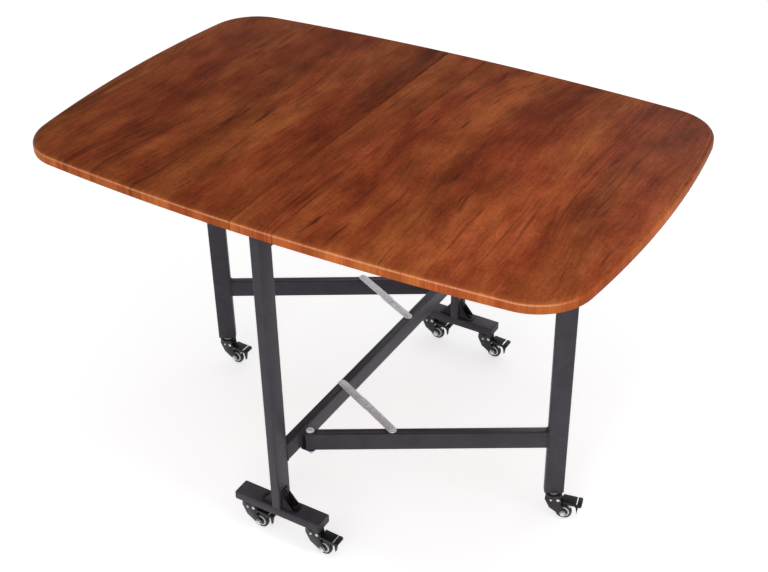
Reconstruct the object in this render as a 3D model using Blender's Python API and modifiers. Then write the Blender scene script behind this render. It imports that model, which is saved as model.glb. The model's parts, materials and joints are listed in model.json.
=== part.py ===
"""Folding dining table: three boards on a tube frame with two swing-out gates and six braked casters.

Metres, +Z up. X runs along the length of the top, Y across it, and the origin is on the floor under the
middle of the top. "Right" is +X, "left" is -X, "near" is -Y and "far" is +Y. The table repeats itself under
a half turn about Z, so the left and far pieces are the right and near ones turned by 180 degrees.
"""

import math

import bmesh
import bpy
from mathutils import Matrix, Vector

# Top
TOP_LENGTH = 1.200
TOP_WIDTH = 0.800
TOP_HEIGHT = 0.750
BOARD_THICKNESS = 0.022
SIDE_BOW_RADIUS = 5.300
END_BOW_RADIUS = 2.150
CORNER_RADIUS = 0.110
STRIP_WIDTH = 0.088
SEAM_GAP = 0.0014
TOP_EDGE_ROUND = 0.005
UNDER_EDGE_ROUND = 0.002

# Gap left where two pieces touch, and where one turns in another
FIT = 0.0003
RUN = 0.0003

# Rectangular tube of the frame
TUBE_WIDE = 0.040
TUBE_THIN = 0.020
TUBE_WALL = 0.0015
TUBE_CORNER = 0.0032

# Centre frame
LEG_INSET = 0.026
FOOT_LENGTH = 0.200
STRETCHER_HEIGHT = 0.208
CAP_FLANGE = 0.0020
CAP_PLUG = 0.0100

# Corner brackets between leg and foot
BRACKET_HEIGHT = 0.044
BRACKET_REACH = 0.034
BRACKET_WIDTH = 0.028
BRACKET_PLATE = 0.0025
BRACKET_CORNER = 0.0090
GUSSET_RISE = 0.028
GUSSET_RUN = 0.024
GUSSET_LIP = 0.0020

# Gates
GATE_REACH = 0.489
GATE_SWING = math.radians(59.5)
PIVOT_FROM_LEG = 0.076
PIVOT_INSET = 0.009
LUG_PLATE = 0.0025
LUG_WIDTH = 0.022
LUG_RUN = 0.0008
GATE_TOP_WALL = 0.003
BOLT_RADIUS = 0.004
BOLT_HEAD_RADIUS = 0.0075
BOLT_HEAD_HEIGHT = 0.0045
NUT_RADIUS = 0.0070
NUT_HEIGHT = 0.0060
BOLT_TAIL = 0.0030

# Folding braces
BRACE_ARM = 0.162
LINK_WIDTH = 0.018
LINK_PLATE = 0.0020
LINK_OVERLAP = 0.018
RIVET_RADIUS = 0.0030
RIVET_HEAD_RADIUS = 0.0052
RIVET_HEAD_HEIGHT = 0.0018
RIVET_TAIL = 0.0035

# Leaf hinges
HINGE_LENGTH = 0.110
HINGE_FROM_EDGE = 0.010
HINGE_PLATE = 0.0015
HINGE_FLAP = 0.024
KNUCKLE_RADIUS = 0.0032
KNUCKLE_COUNT = 5
TAB_STEP = 0.0002
PIN_RADIUS = 0.0016

# Casters
CASTER_HEIGHT = 0.068
SWIVEL_OFFSET = 0.077
WHEEL_RADIUS = 0.0172
WHEEL_WIDTH = 0.0100
WHEEL_ROUND = 0.0018
HUB_RADIUS = 0.0060
TRAIL = 0.0235
AXLE_RADIUS = 0.0030
AXLE_NUT_RADIUS = 0.0052
AXLE_NUT_WIDTH = 0.0036
FORK_GAP = 0.0168
FORK_PLATE = 0.0018
FORK_HEAD_RADIUS = 0.0165
FORK_HEAD_PLATE = 0.0035
FORK_BROW_HEIGHT = 0.0480
FORK_BELLY_X = -0.0055
FORK_BELLY_HEIGHT = 0.0270
FORK_BACK_X = 0.0185
FORK_BACK_HEIGHT = 0.0365
FORK_TOE_RADIUS = 0.0075
COLLAR_RADIUS = 0.0115
COLLAR_HEIGHT = 0.0042
KING_PIN_RADIUS = 0.0040
KING_HEAD_RADIUS = 0.0066
KING_HEAD_HEIGHT = 0.0022
STUD_RADIUS = 0.0050
STUD_LENGTH = 0.0140
STEM_PLUG = 0.0240
PEDAL_PIVOT_X = 0.0120
PEDAL_PIVOT_HEIGHT = 0.0505
PEDAL_HUB_RADIUS = 0.0034
PEDAL_SLOPE = math.radians(2.5)
PEDAL_LENGTH = 0.0490
PEDAL_WIDTH = 0.0240
PEDAL_PLATE = 0.0020
PEDAL_NECK_WIDTH = 0.0130
PEDAL_NECK_LENGTH = 0.0080
PEDAL_FLANGE_START = 0.0115
PEDAL_FLANGE_DEPTH = 0.0065
PEDAL_FLANGE_PLATE = 0.0015
PEDAL_ROLL_RADIUS = 0.0046
TONGUE_WIDTH = 0.0070
TONGUE_ROOT_X = 0.0170
TONGUE_TIP_X = 0.0383
TONGUE_TIP_DROP = 0.0340
TONGUE_BACK_X = 0.0415
TONGUE_BACK_DROP = 0.0140
TONGUE_THROAT_X = 0.0363
TONGUE_THROAT_DROP = 0.0190
TONGUE_BEND = 0.0070

# How the casters stand in the rest position: pedal direction about Z, from +X
CASTER_YAW = {"gate_right": math.radians(14.0)}

# Facets
ARC_STEPS = 3
ROUND_SIDES = 12
PIN_SIDES = 8
HEAD_SIDES = 16
WHEEL_SIDES = 24
SIDE_BOW_STEPS = 6
END_BOW_STEPS = 6
CORNER_STEPS = 7
WELD = 1e-6

# Levels and places that follow from the sizes above
BOARD_UNDER = TOP_HEIGHT - BOARD_THICKNESS
FOOT_TOP = CASTER_HEIGHT + TUBE_THIN
STRETCHER_TOP = STRETCHER_HEIGHT + TUBE_WIDE / 2
STRETCHER_UNDER = STRETCHER_HEIGHT - TUBE_WIDE / 2
LEG_SPACING = TOP_WIDTH - 2 * LEG_INSET
LEG_Y = LEG_SPACING / 2
SEAM_X = STRIP_WIDTH / 2
PIVOT_X = TUBE_THIN / 2 + LUG_PLATE + LUG_RUN + math.hypot(PIVOT_INSET, TUBE_THIN / 2)
PIVOT_Y = PIVOT_FROM_LEG - LEG_Y
GATE_ANGLE = math.pi / 2 - GATE_SWING
FORK_TOP = CASTER_HEIGHT - FIT - COLLAR_HEIGHT - RUN
AXLE_HEIGHT = WHEEL_RADIUS

ALONG_X = Matrix.Rotation(math.pi / 2, 4, "Y")
ALONG_Y = Matrix.Rotation(-math.pi / 2, 4, "X")
STANDING = Matrix.Rotation(math.pi / 2, 4, "X")
HALF_TURN = Matrix.Rotation(math.pi, 4, "Z")

FINISHES = {
    "walnut_board": ((0.300, 0.085, 0.030), 0.38, 0.0),
    "charcoal_steel": ((0.052, 0.048, 0.056), 0.45, 0.3),
    "zinc_steel": ((0.420, 0.410, 0.440), 0.32, 1.0),
    "black_steel": ((0.015, 0.014, 0.016), 0.40, 0.3),
    "black_plastic": ((0.020, 0.019, 0.021), 0.55, 0.0),
    "wheel_rubber": ((0.018, 0.018, 0.019), 0.60, 0.0),
}


# Scene and finishes


def clear_scene():
    """Remove every object of the open scene."""
    for obj in list(bpy.data.objects):
        bpy.data.objects.remove(obj, do_unlink=True)


def new_collection(name):
    """Add a collection to the scene."""
    collection = bpy.data.collections.new(name)
    bpy.context.scene.collection.children.link(collection)
    return collection


def make_finishes():
    """Make one Principled material for each finish."""
    made = {}
    for name, (colour, roughness, metallic) in FINISHES.items():
        material = bpy.data.materials.new(name)
        material.use_nodes = True
        shader = material.node_tree.nodes["Principled BSDF"]
        shader.inputs["Base Color"].default_value = (*colour, 1.0)
        shader.inputs["Roughness"].default_value = roughness
        shader.inputs["Metallic"].default_value = metallic
        made[name] = material
    return made


clear_scene()
PARTS = new_collection("folding_dining_table")
CUTTERS = new_collection("cutters")
MATERIALS = make_finishes()


# Shapes


def working_object(data):
    """Put mesh or curve data in a working object that is left out of the part."""
    obj = bpy.data.objects.new("working", data)
    CUTTERS.objects.link(obj)
    obj.hide_render = True
    obj.display_type = "WIRE"
    return obj


def settle(obj, *helpers):
    """Turn a working object's evaluated shape into a welded mesh and remove the working objects."""
    bpy.context.view_layer.update()
    graph = bpy.context.evaluated_depsgraph_get()
    mesh = bpy.data.meshes.new_from_object(obj.evaluated_get(graph))
    for used in (obj, *helpers):
        bpy.data.objects.remove(used)
    shape = bmesh.new()
    shape.from_mesh(mesh)
    bmesh.ops.remove_doubles(shape, verts=shape.verts, dist=WELD)
    bmesh.ops.recalc_face_normals(shape, faces=shape.faces)
    shape.to_mesh(mesh)
    shape.free()
    return mesh


def placed(mesh, matrix=None, offset=(0.0, 0.0, 0.0)):
    """Turn a mesh by a matrix, then move it by an offset."""
    mesh.transform(Matrix.Translation(offset) @ (matrix or Matrix.Identity(4)))
    return mesh


def plate(loops, thickness):
    """Extrude closed XY outlines by a thickness centred on Z = 0; a loop inside another is a hole."""
    curve = bpy.data.curves.new("outline", "CURVE")
    curve.dimensions = "2D"
    curve.fill_mode = "BOTH"
    curve.extrude = thickness / 2
    for loop in loops:
        spline = curve.splines.new("POLY")
        spline.points.add(len(loop) - 1)
        for point, (x, y) in zip(spline.points, loop):
            point.co = (x, y, 0.0, 1.0)
        spline.use_cyclic_u = True
    return settle(working_object(curve))


def turned(profile, sides=ROUND_SIDES, ring=False):
    """Turn a profile of (radius, height) points about Z; a ring's profile closes on itself."""
    count = len(profile)
    edges = [(i, i + 1) for i in range(count - 1)]
    if ring:
        edges.append((count - 1, 0))
    mesh = bpy.data.meshes.new("profile")
    mesh.from_pydata([(radius, 0.0, height) for radius, height in profile], edges, [])
    obj = working_object(mesh)
    screw = obj.modifiers.new("turn", "SCREW")
    screw.steps = sides
    screw.render_steps = sides
    screw.use_merge_vertices = True
    screw.merge_threshold = WELD
    return settle(obj)


def box(low, high):
    """Make a block between two corners."""
    low = Vector(low)
    high = Vector(high)
    size = high - low
    shape = bmesh.new()
    bmesh.ops.create_cube(shape, size=1.0)
    bmesh.ops.scale(shape, vec=size, verts=shape.verts)
    bmesh.ops.translate(shape, vec=(low + high) / 2, verts=shape.verts)
    mesh = bpy.data.meshes.new("block")
    shape.to_mesh(mesh)
    shape.free()
    return mesh


def rod(radius, low, high, sides=ROUND_SIDES):
    """Make a round rod along Z between two heights."""
    shape = bmesh.new()
    bmesh.ops.create_cone(
        shape, cap_ends=True, segments=sides, radius1=radius, radius2=radius, depth=high - low
    )
    bmesh.ops.translate(shape, vec=(0.0, 0.0, (low + high) / 2), verts=shape.verts)
    mesh = bpy.data.meshes.new("rod")
    shape.to_mesh(mesh)
    shape.free()
    return mesh


def combined(mesh, others, operation):
    """Join other meshes to a mesh, or cut them out of it."""
    obj = working_object(mesh)
    helpers = []
    for other in others:
        helper = working_object(other)
        modifier = obj.modifiers.new("combine", "BOOLEAN")
        modifier.operation = operation
        modifier.object = helper
        helpers.append(helper)
    return settle(obj, *helpers)


def arc(centre, radius, start, end, steps):
    """Points of an arc, both ends included."""
    angles = [start + (end - start) * i / steps for i in range(steps + 1)]
    return [(centre[0] + radius * math.cos(a), centre[1] + radius * math.sin(a)) for a in angles]


def rounded_rectangle(width, depth, radius):
    """Outline of a rectangle with round corners, centred on the origin."""
    points = []
    for quarter, (sx, sy) in enumerate(((1, 1), (-1, 1), (-1, -1), (1, -1))):
        centre = (sx * (width / 2 - radius), sy * (depth / 2 - radius))
        start = quarter * math.pi / 2
        points += arc(centre, radius, start, start + math.pi / 2, ARC_STEPS)
    return points


def stadium(length, width):
    """Outline of a bar with round ends whose end centres are at X = 0 and X = length."""
    half = width / 2
    left = arc((0.0, 0.0), half, math.pi / 2, 3 * math.pi / 2, 2 * ARC_STEPS)
    right = arc((length, 0.0), half, -math.pi / 2, math.pi / 2, 2 * ARC_STEPS)
    return left + right


def tube(width, depth, length):
    """Rectangular tube along Z, open at both ends, centred on the origin."""
    outer = rounded_rectangle(width, depth, TUBE_CORNER)
    inner = rounded_rectangle(width - 2 * TUBE_WALL, depth - 2 * TUBE_WALL, TUBE_CORNER - TUBE_WALL)
    return plate([outer, inner], length)


def tube_filler(width, depth, length):
    """Solid bar along Z that fits inside a tube of the given outer size."""
    inset = 2 * (TUBE_WALL + FIT)
    return plate([rounded_rectangle(width - inset, depth - inset, TUBE_CORNER - TUBE_WALL)], length)


# Assembly


def part(name, mesh, finish, parent=None, place=(0.0, 0.0, 0.0), turn=0.0):
    """Add a named piece of the table, turned about Z at its place."""
    obj = bpy.data.objects.new(name, mesh)
    PARTS.objects.link(obj)
    if not mesh.materials:
        mesh.materials.append(MATERIALS[finish])
        mesh.shade_smooth()
        mesh.set_sharp_from_angle(angle=math.radians(32.0))
    obj.parent = parent
    obj.location = place
    obj.rotation_euler = (0.0, 0.0, turn)
    return obj


def joint_axis(name, place, turn=0.0, parent=None):
    """Add an empty on a joint's axis."""
    empty = bpy.data.objects.new(name, None)
    PARTS.objects.link(empty)
    empty.parent = parent
    empty.location = place
    empty.rotation_euler = (0.0, 0.0, turn)
    return empty


# Boards


def corner_arc():
    """Centre of a corner's arc, and the directions in which it touches the side's and the end's bow."""
    side_centre = Vector((0.0, TOP_WIDTH / 2 - SIDE_BOW_RADIUS))
    end_centre = Vector((TOP_LENGTH / 2 - END_BOW_RADIUS, 0.0))
    side_reach = SIDE_BOW_RADIUS - CORNER_RADIUS
    end_reach = END_BOW_RADIUS - CORNER_RADIUS
    span = end_centre - side_centre
    along = (side_reach**2 - end_reach**2 + span.length**2) / (2 * span.length)
    across = math.sqrt(side_reach**2 - along**2)
    forward = span.normalized()
    sideways = Vector((forward.y, -forward.x))
    centre = side_centre + forward * along + sideways * across
    to_side = centre - side_centre
    to_end = centre - end_centre
    return centre, math.atan2(to_side.y, to_side.x), math.atan2(to_end.y, to_end.x)


def side_height(x):
    """Y of the far long side at a given X."""
    return TOP_WIDTH / 2 - SIDE_BOW_RADIUS + math.sqrt(SIDE_BOW_RADIUS**2 - x**2)


def rounded_board(outline, seam_lines):
    """Board with a soft top edge and a lightly eased lower edge, left square along its seams."""
    shape = bmesh.new()
    mesh = placed(plate([outline], BOARD_THICKNESS), offset=(0.0, 0.0, TOP_HEIGHT - BOARD_THICKNESS / 2))
    shape.from_mesh(mesh)
    bmesh.ops.dissolve_limit(shape, angle_limit=math.radians(0.5), verts=shape.verts, edges=shape.edges)
    for level, size, steps in ((TOP_HEIGHT, TOP_EDGE_ROUND, 3), (BOARD_UNDER, UNDER_EDGE_ROUND, 1)):
        rim = []
        for edge in shape.edges:
            on_level = all(abs(v.co.z - level) < WELD for v in edge.verts)
            on_seam = any(all(abs(v.co.x - x) < WELD for v in edge.verts) for x in seam_lines)
            if on_level and not on_seam:
                rim.append(edge)
        bmesh.ops.bevel(shape, geom=rim, offset=size, segments=steps, profile=0.5, affect="EDGES")
    bmesh.ops.triangulate(shape, faces=shape.faces)
    shape.to_mesh(mesh)
    shape.free()
    return mesh


def leaf_board():
    """The right leaf: bowed long sides, round corners and a bowed end."""
    seam = SEAM_X + SEAM_GAP / 2
    centre, side_angle, end_angle = corner_arc()
    end_centre = (TOP_LENGTH / 2 - END_BOW_RADIUS, 0.0)
    side_centre = (0.0, TOP_WIDTH / 2 - SIDE_BOW_RADIUS)
    seam_angle = math.acos(seam / SIDE_BOW_RADIUS)
    end = arc(end_centre, END_BOW_RADIUS, 0.0, end_angle, END_BOW_STEPS)
    corner = arc(centre, CORNER_RADIUS, end_angle, side_angle, CORNER_STEPS)
    side = arc(side_centre, SIDE_BOW_RADIUS, side_angle, seam_angle, SIDE_BOW_STEPS)
    far_half = end + corner[1:] + side[1:]
    near_half = [(x, -y) for x, y in reversed(far_half[1:])]
    return rounded_board(near_half + far_half, [seam])


def centre_board():
    """The narrow board between the leaves."""
    edge = SEAM_X - SEAM_GAP / 2
    xs = [edge - 2 * edge * i / SIDE_BOW_STEPS for i in range(SIDE_BOW_STEPS + 1)]
    far = [(x, side_height(x)) for x in xs]
    near = [(x, -y) for x, y in reversed(far)]
    return rounded_board(far + near, [edge, -edge])


def build_boards():
    """Centre board and the two leaves."""
    part("centre_board", centre_board(), "walnut_board")
    leaf = leaf_board()
    hinge_line = (SEAM_X, 0.0, BOARD_UNDER - FIT - KNUCKLE_RADIUS)
    leaf.transform(Matrix.Translation(-Vector(hinge_line)))
    part("leaf_right_board", leaf, "walnut_board", place=hinge_line)
    part("leaf_left_board", leaf, "walnut_board", place=(-SEAM_X, 0.0, hinge_line[2]), turn=math.pi)


# Leaf hinges


def hinge_flap(first, end_gap):
    """Flap on the -X side of the pin, with a tab to every second knuckle, and those knuckles."""
    pitch = HINGE_LENGTH / KNUCKLE_COUNT
    half = HINGE_LENGTH / 2
    inner = -(KNUCKLE_RADIUS + RUN)
    outline = [(inner, half), (inner - HINGE_FLAP, half), (inner - HINGE_FLAP, -half), (inner, -half)]
    knuckles = []
    for index in range(first, KNUCKLE_COUNT, 2):
        low = -half + index * pitch + end_gap
        high = low + pitch - 2 * end_gap
        outline += [(inner, low + TAB_STEP), (0.0, low + TAB_STEP)]
        outline += [(0.0, high - TAB_STEP), (inner, high - TAB_STEP)]
        knuckles.append(placed(rod(KNUCKLE_RADIUS, low, high, PIN_SIDES), ALONG_Y))
    middle = KNUCKLE_RADIUS - HINGE_PLATE / 2 - TAB_STEP
    flap = placed(plate([outline], HINGE_PLATE), offset=(0.0, 0.0, middle))
    return flap, knuckles


def hinge_frame_flap():
    """Flap of the centre board: three knuckles and the pin that runs through all of them."""
    flap, knuckles = hinge_flap(0, 0.0)
    pin_end = HINGE_LENGTH / 2 - PIN_RADIUS
    pin = placed(rod(PIN_RADIUS, -pin_end, pin_end, PIN_SIDES), ALONG_Y)
    return combined(flap, knuckles + [pin], "UNION")


def hinge_leaf_flap():
    """Flap of the leaf: two bored knuckles between those of the other flap."""
    flap, knuckles = hinge_flap(1, RUN)
    bore = placed(rod(PIN_RADIUS + RUN, -HINGE_LENGTH, HINGE_LENGTH, PIN_SIDES), ALONG_Y)
    joined = combined(flap, knuckles, "UNION")
    return placed(combined(joined, [bore], "DIFFERENCE"), HALF_TURN)


def build_hinges():
    """Two hinges under each seam, near the ends of the boards."""
    frame_flap = hinge_frame_flap()
    leaf_flap = hinge_leaf_flap()
    height = BOARD_UNDER - FIT - KNUCKLE_RADIUS
    y = TOP_WIDTH / 2 - HINGE_FROM_EDGE - HINGE_LENGTH / 2
    for side, sign, turn in (("right", 1, 0.0), ("left", -1, math.pi)):
        for end, end_sign in (("near", -1), ("far", 1)):
            place = (sign * SEAM_X, end_sign * y, height)
            part(f"hinge_{side}_{end}_frame_flap", frame_flap, "black_steel", place=place, turn=turn)
            part(f"hinge_{side}_{end}_leaf_flap", leaf_flap, "black_steel", place=place, turn=turn)


# Centre frame


def lug():
    """Pair of lugs on a web, to the right of the stretcher, for the near pivot bolt."""
    web = TUBE_THIN / 2 + LUG_PLATE
    reach = PIVOT_X - web
    outline = arc((reach, 0.0), LUG_WIDTH / 2, -math.pi / 2, math.pi / 2, 2 * ARC_STEPS)
    outline += [(-LUG_PLATE / 2, LUG_WIDTH / 2), (-LUG_PLATE / 2, -LUG_WIDTH / 2)]
    level = TUBE_WIDE / 2 + FIT + LUG_PLATE / 2
    upper = placed(plate([outline], LUG_PLATE), offset=(web, 0.0, level))
    lower = placed(plate([outline], LUG_PLATE), offset=(web, 0.0, -level))
    half_height = level + LUG_PLATE / 2
    sunk = TUBE_THIN / 2 - TUBE_WALL / 2
    back = box((sunk, -LUG_WIDTH / 2, -half_height), (web, LUG_WIDTH / 2, half_height))
    joined = combined(back, [upper, lower], "UNION")
    return placed(joined, offset=(0.0, PIVOT_Y, STRETCHER_HEIGHT))


def stretcher():
    """Tube between the legs with the lugs of both gates and the holes of the brace rivets."""
    length = LEG_SPACING - TUBE_WIDE - 2 * FIT
    bar = placed(tube(TUBE_THIN, TUBE_WIDE, length), ALONG_Y, (0.0, 0.0, STRETCHER_HEIGHT))
    near_lug = lug()
    far_lug = placed(near_lug.copy(), HALF_TURN)
    joined = combined(bar, [near_lug, far_lug], "UNION")
    low = STRETCHER_UNDER - TUBE_WIDE / 2
    high = STRETCHER_TOP + TUBE_WIDE / 2
    cutters = []
    for turn in (Matrix.Identity(4), HALF_TURN):
        bolt_hole = placed(rod(BOLT_RADIUS + RUN, low, high), offset=(PIVOT_X, PIVOT_Y, 0.0))
        rivet_hole = rod(RIVET_RADIUS + RUN, STRETCHER_TOP - 2 * TUBE_WALL, high)
        rivet_hole = placed(rivet_hole, offset=(0.0, PIVOT_Y + BRACE_ARM, 0.0))
        cutters += [placed(bolt_hole, turn), placed(rivet_hole, turn)]
    return combined(joined, cutters, "DIFFERENCE")


def foot():
    """Foot tube along X with the two holes for the caster studs in its lower wall."""
    length = FOOT_LENGTH - 2 * (CAP_FLANGE + FIT)
    bar = placed(tube(TUBE_THIN, TUBE_WIDE, length), ALONG_X, (0.0, 0.0, CASTER_HEIGHT + TUBE_THIN / 2))
    holes = []
    for x in (-SWIVEL_OFFSET, SWIVEL_OFFSET):
        hole = rod(STUD_RADIUS + RUN, CASTER_HEIGHT - TUBE_WALL, CASTER_HEIGHT + 2 * TUBE_WALL)
        holes.append(placed(hole, offset=(x, 0.0, 0.0)))
    return combined(bar, holes, "DIFFERENCE")


def foot_cap():
    """End cap of a foot tube, with its plug towards -X."""
    flange = plate([rounded_rectangle(TUBE_THIN, TUBE_WIDE, TUBE_CORNER)], CAP_FLANGE)
    plug = tube_filler(TUBE_THIN, TUBE_WIDE, CAP_PLUG + CAP_FLANGE / 2)
    plug = placed(plug, offset=(0.0, 0.0, -(CAP_PLUG + CAP_FLANGE / 2) / 2))
    joined = combined(flange, [plug], "UNION")
    return placed(joined, ALONG_X, (FOOT_LENGTH / 2 - CAP_FLANGE / 2, 0.0, CASTER_HEIGHT + TUBE_THIN / 2))


def round_tips(mesh):
    """Round the corners at the two ends of a bracket's angle plate."""
    shape = bmesh.new()
    shape.from_mesh(mesh)
    bmesh.ops.dissolve_limit(shape, angle_limit=math.radians(0.5), verts=shape.verts, edges=shape.edges)
    tips = []
    for edge in shape.edges:
        run = edge.verts[1].co - edge.verts[0].co
        on_reach = all(abs(v.co.x - BRACKET_REACH) < WELD for v in edge.verts)
        on_height = all(abs(v.co.z - BRACKET_HEIGHT) < WELD for v in edge.verts)
        if abs(run.y) < WELD and (on_reach or on_height):
            tips.append(edge)
    bmesh.ops.bevel(shape, geom=tips, offset=BRACKET_CORNER, segments=ARC_STEPS, profile=0.5, affect="EDGES")
    shape.to_mesh(mesh)
    shape.free()
    return mesh


def corner_bracket():
    """Right-hand bracket: an angle plate with round ends and a slanted gusset along each side."""
    root = BRACKET_PLATE / 2
    shoulder = BRACKET_PLATE + GUSSET_LIP
    angle = [(0.0, 0.0), (BRACKET_REACH, 0.0), (BRACKET_REACH, BRACKET_PLATE), (BRACKET_PLATE, BRACKET_PLATE)]
    angle += [(BRACKET_PLATE, BRACKET_HEIGHT), (0.0, BRACKET_HEIGHT)]
    gusset = [(root, root), (GUSSET_RUN, root), (GUSSET_RUN, shoulder)]
    gusset += [(shoulder, GUSSET_RISE), (root, GUSSET_RISE)]
    body = round_tips(placed(plate([angle], BRACKET_WIDTH), STANDING))
    offset = BRACKET_WIDTH / 2 - BRACKET_PLATE
    webs = [placed(plate([gusset], BRACKET_PLATE), STANDING, (0.0, sign * offset, 0.0)) for sign in (-1, 1)]
    return placed(combined(body, webs, "UNION"), offset=(TUBE_THIN / 2 + FIT, 0.0, FOOT_TOP + FIT))


def build_centre_frame():
    """Legs, top rail, stretcher, feet, caps and corner brackets."""
    leg_low = FOOT_TOP + FIT
    leg_high = BOARD_UNDER - FIT
    leg = placed(tube(TUBE_THIN, TUBE_WIDE, leg_high - leg_low), offset=(0.0, 0.0, (leg_low + leg_high) / 2))
    rail = tube(TUBE_THIN, TUBE_WIDE, LEG_SPACING - TUBE_WIDE - 2 * FIT)
    rail = placed(rail, ALONG_Y, (0.0, 0.0, leg_high - TUBE_WIDE / 2))
    part("top_rail", rail, "charcoal_steel")
    part("stretcher", stretcher(), "charcoal_steel")
    foot_tube = foot()
    cap = foot_cap()
    bracket = corner_bracket()
    for end, sign in (("near", -1), ("far", 1)):
        place = (0.0, sign * LEG_Y, 0.0)
        part(f"leg_{end}", leg, "charcoal_steel", place=place)
        part(f"foot_{end}", foot_tube, "charcoal_steel", place=place)
        for side, turn in (("right", 0.0), ("left", math.pi)):
            part(f"foot_{end}_cap_{side}", cap, "black_plastic", place=place, turn=turn)
            part(f"corner_bracket_{end}_{side}", bracket, "black_steel", place=place, turn=turn)


# Gates, in their own frame: pivot axis at the origin, bar along +X


def gate_bar():
    """Bar from the pivot to the gate leg, with the bolt's and the brace rivet's holes."""
    start = -PIVOT_INSET
    end = GATE_REACH - TUBE_WIDE / 2 - FIT
    bar = placed(tube(TUBE_WIDE, TUBE_THIN, end - start), ALONG_X, ((start + end) / 2, 0.0, STRETCHER_HEIGHT))
    bolt_hole = rod(BOLT_RADIUS + RUN, STRETCHER_UNDER - TUBE_WALL, STRETCHER_TOP + TUBE_WALL)
    rivet_hole = rod(RIVET_RADIUS + RUN, STRETCHER_TOP - 2 * TUBE_WALL, STRETCHER_TOP + TUBE_WALL)
    rivet_hole = placed(rivet_hole, offset=(BRACE_ARM, 0.0, 0.0))
    return combined(bar, [bolt_hole, rivet_hole], "DIFFERENCE")


def gate_leg():
    """Gate leg: a tube closed at its top, under the leaf, and open at its lower end."""
    low = CASTER_HEIGHT
    high = BOARD_UNDER - FIT
    outer = plate([rounded_rectangle(TUBE_WIDE, TUBE_THIN, TUBE_CORNER)], high - low)
    outer = placed(outer, offset=(GATE_REACH, 0.0, (low + high) / 2))
    hollow_low = low - GATE_TOP_WALL
    hollow_high = high - GATE_TOP_WALL
    size = (TUBE_WIDE - 2 * TUBE_WALL, TUBE_THIN - 2 * TUBE_WALL)
    hollow = plate([rounded_rectangle(*size, TUBE_CORNER - TUBE_WALL)], hollow_high - hollow_low)
    hollow = placed(hollow, offset=(GATE_REACH, 0.0, (hollow_low + hollow_high) / 2))
    return combined(outer, [hollow], "DIFFERENCE")


def pivot_bolt():
    """Pivot bolt with a round head above the upper lug and a nut below the lower one."""
    top = STRETCHER_TOP + FIT + LUG_PLATE + FIT
    under = STRETCHER_UNDER - FIT - LUG_PLATE - FIT
    head = top + BOLT_HEAD_HEIGHT
    nut = under - NUT_HEIGHT
    tail = nut - BOLT_TAIL
    shoulder = top + BOLT_HEAD_HEIGHT / 2
    profile = [(0.0, head), (BOLT_HEAD_RADIUS * 0.7, head)]
    profile += [(BOLT_HEAD_RADIUS, shoulder), (BOLT_HEAD_RADIUS, top)]
    profile += [(BOLT_RADIUS, top), (BOLT_RADIUS, under), (NUT_RADIUS, under), (NUT_RADIUS, nut)]
    profile += [(BOLT_RADIUS, nut), (BOLT_RADIUS, tail), (0.0, tail)]
    return turned(profile)


# Braces


def brace_anchors():
    """Right brace at rest: its end on the stretcher, its end on the gate bar, and a link's length."""
    on_stretcher = Vector((0.0, PIVOT_Y + BRACE_ARM, 0.0))
    bar = Vector((math.cos(GATE_ANGLE), math.sin(GATE_ANGLE), 0.0))
    on_gate = Vector((PIVOT_X, PIVOT_Y, 0.0)) + bar * BRACE_ARM
    return on_stretcher, on_gate, (on_gate - on_stretcher).length / 2


def rivet(head_level, tail_level):
    """Rivet with a domed head on a link's top face, and a shank down to the given level."""
    crown = head_level + RIVET_HEAD_HEIGHT
    sunk = head_level - LINK_PLATE / 2
    shoulder = head_level + RIVET_HEAD_HEIGHT * 0.3
    profile = [(0.0, crown), (RIVET_HEAD_RADIUS * 0.6, crown), (RIVET_HEAD_RADIUS, shoulder)]
    profile += [(RIVET_HEAD_RADIUS, sunk), (RIVET_RADIUS, sunk)]
    profile += [(RIVET_RADIUS, tail_level), (0.0, tail_level)]
    return turned(profile, PIN_SIDES)


def stretcher_link(length):
    """Lower link, on the stretcher: its end rivet goes into the stretcher's top wall."""
    low = STRETCHER_TOP + FIT
    bar = placed(plate([stadium(length, LINK_WIDTH)], LINK_PLATE), offset=(0.0, 0.0, low + LINK_PLATE / 2))
    return combined(bar, [rivet(low + LINK_PLATE, STRETCHER_TOP - RIVET_TAIL)], "UNION")


def gate_link(length):
    """Upper link, on the gate bar: a spacer under its end, and a tail that laps over the other link."""
    low = STRETCHER_TOP + FIT + LINK_PLATE + FIT
    reach = length + LINK_OVERLAP
    bar = placed(plate([stadium(reach, LINK_WIDTH)], LINK_PLATE), offset=(0.0, 0.0, low + LINK_PLATE / 2))
    spacer = rod(LINK_WIDTH / 2 - FIT, STRETCHER_TOP + FIT, low + LINK_PLATE / 4)
    end_rivet = rivet(low + LINK_PLATE, STRETCHER_TOP - RIVET_TAIL)
    mid_rivet = placed(rivet(low + LINK_PLATE, low + LINK_PLATE / 4), offset=(length, 0.0, 0.0))
    return combined(bar, [spacer, end_rivet, mid_rivet], "UNION")


# Casters, in their own frame: swivel axis along Z at the origin, trailing towards +X


def tangent_angle(point, centre, radius, side):
    """Direction from a circle's centre to where a line from a point touches it, left (+1) or right (-1)."""
    across = Vector(point) - Vector(centre)
    return math.atan2(across.y, across.x) + side * math.acos(radius / across.length)


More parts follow.
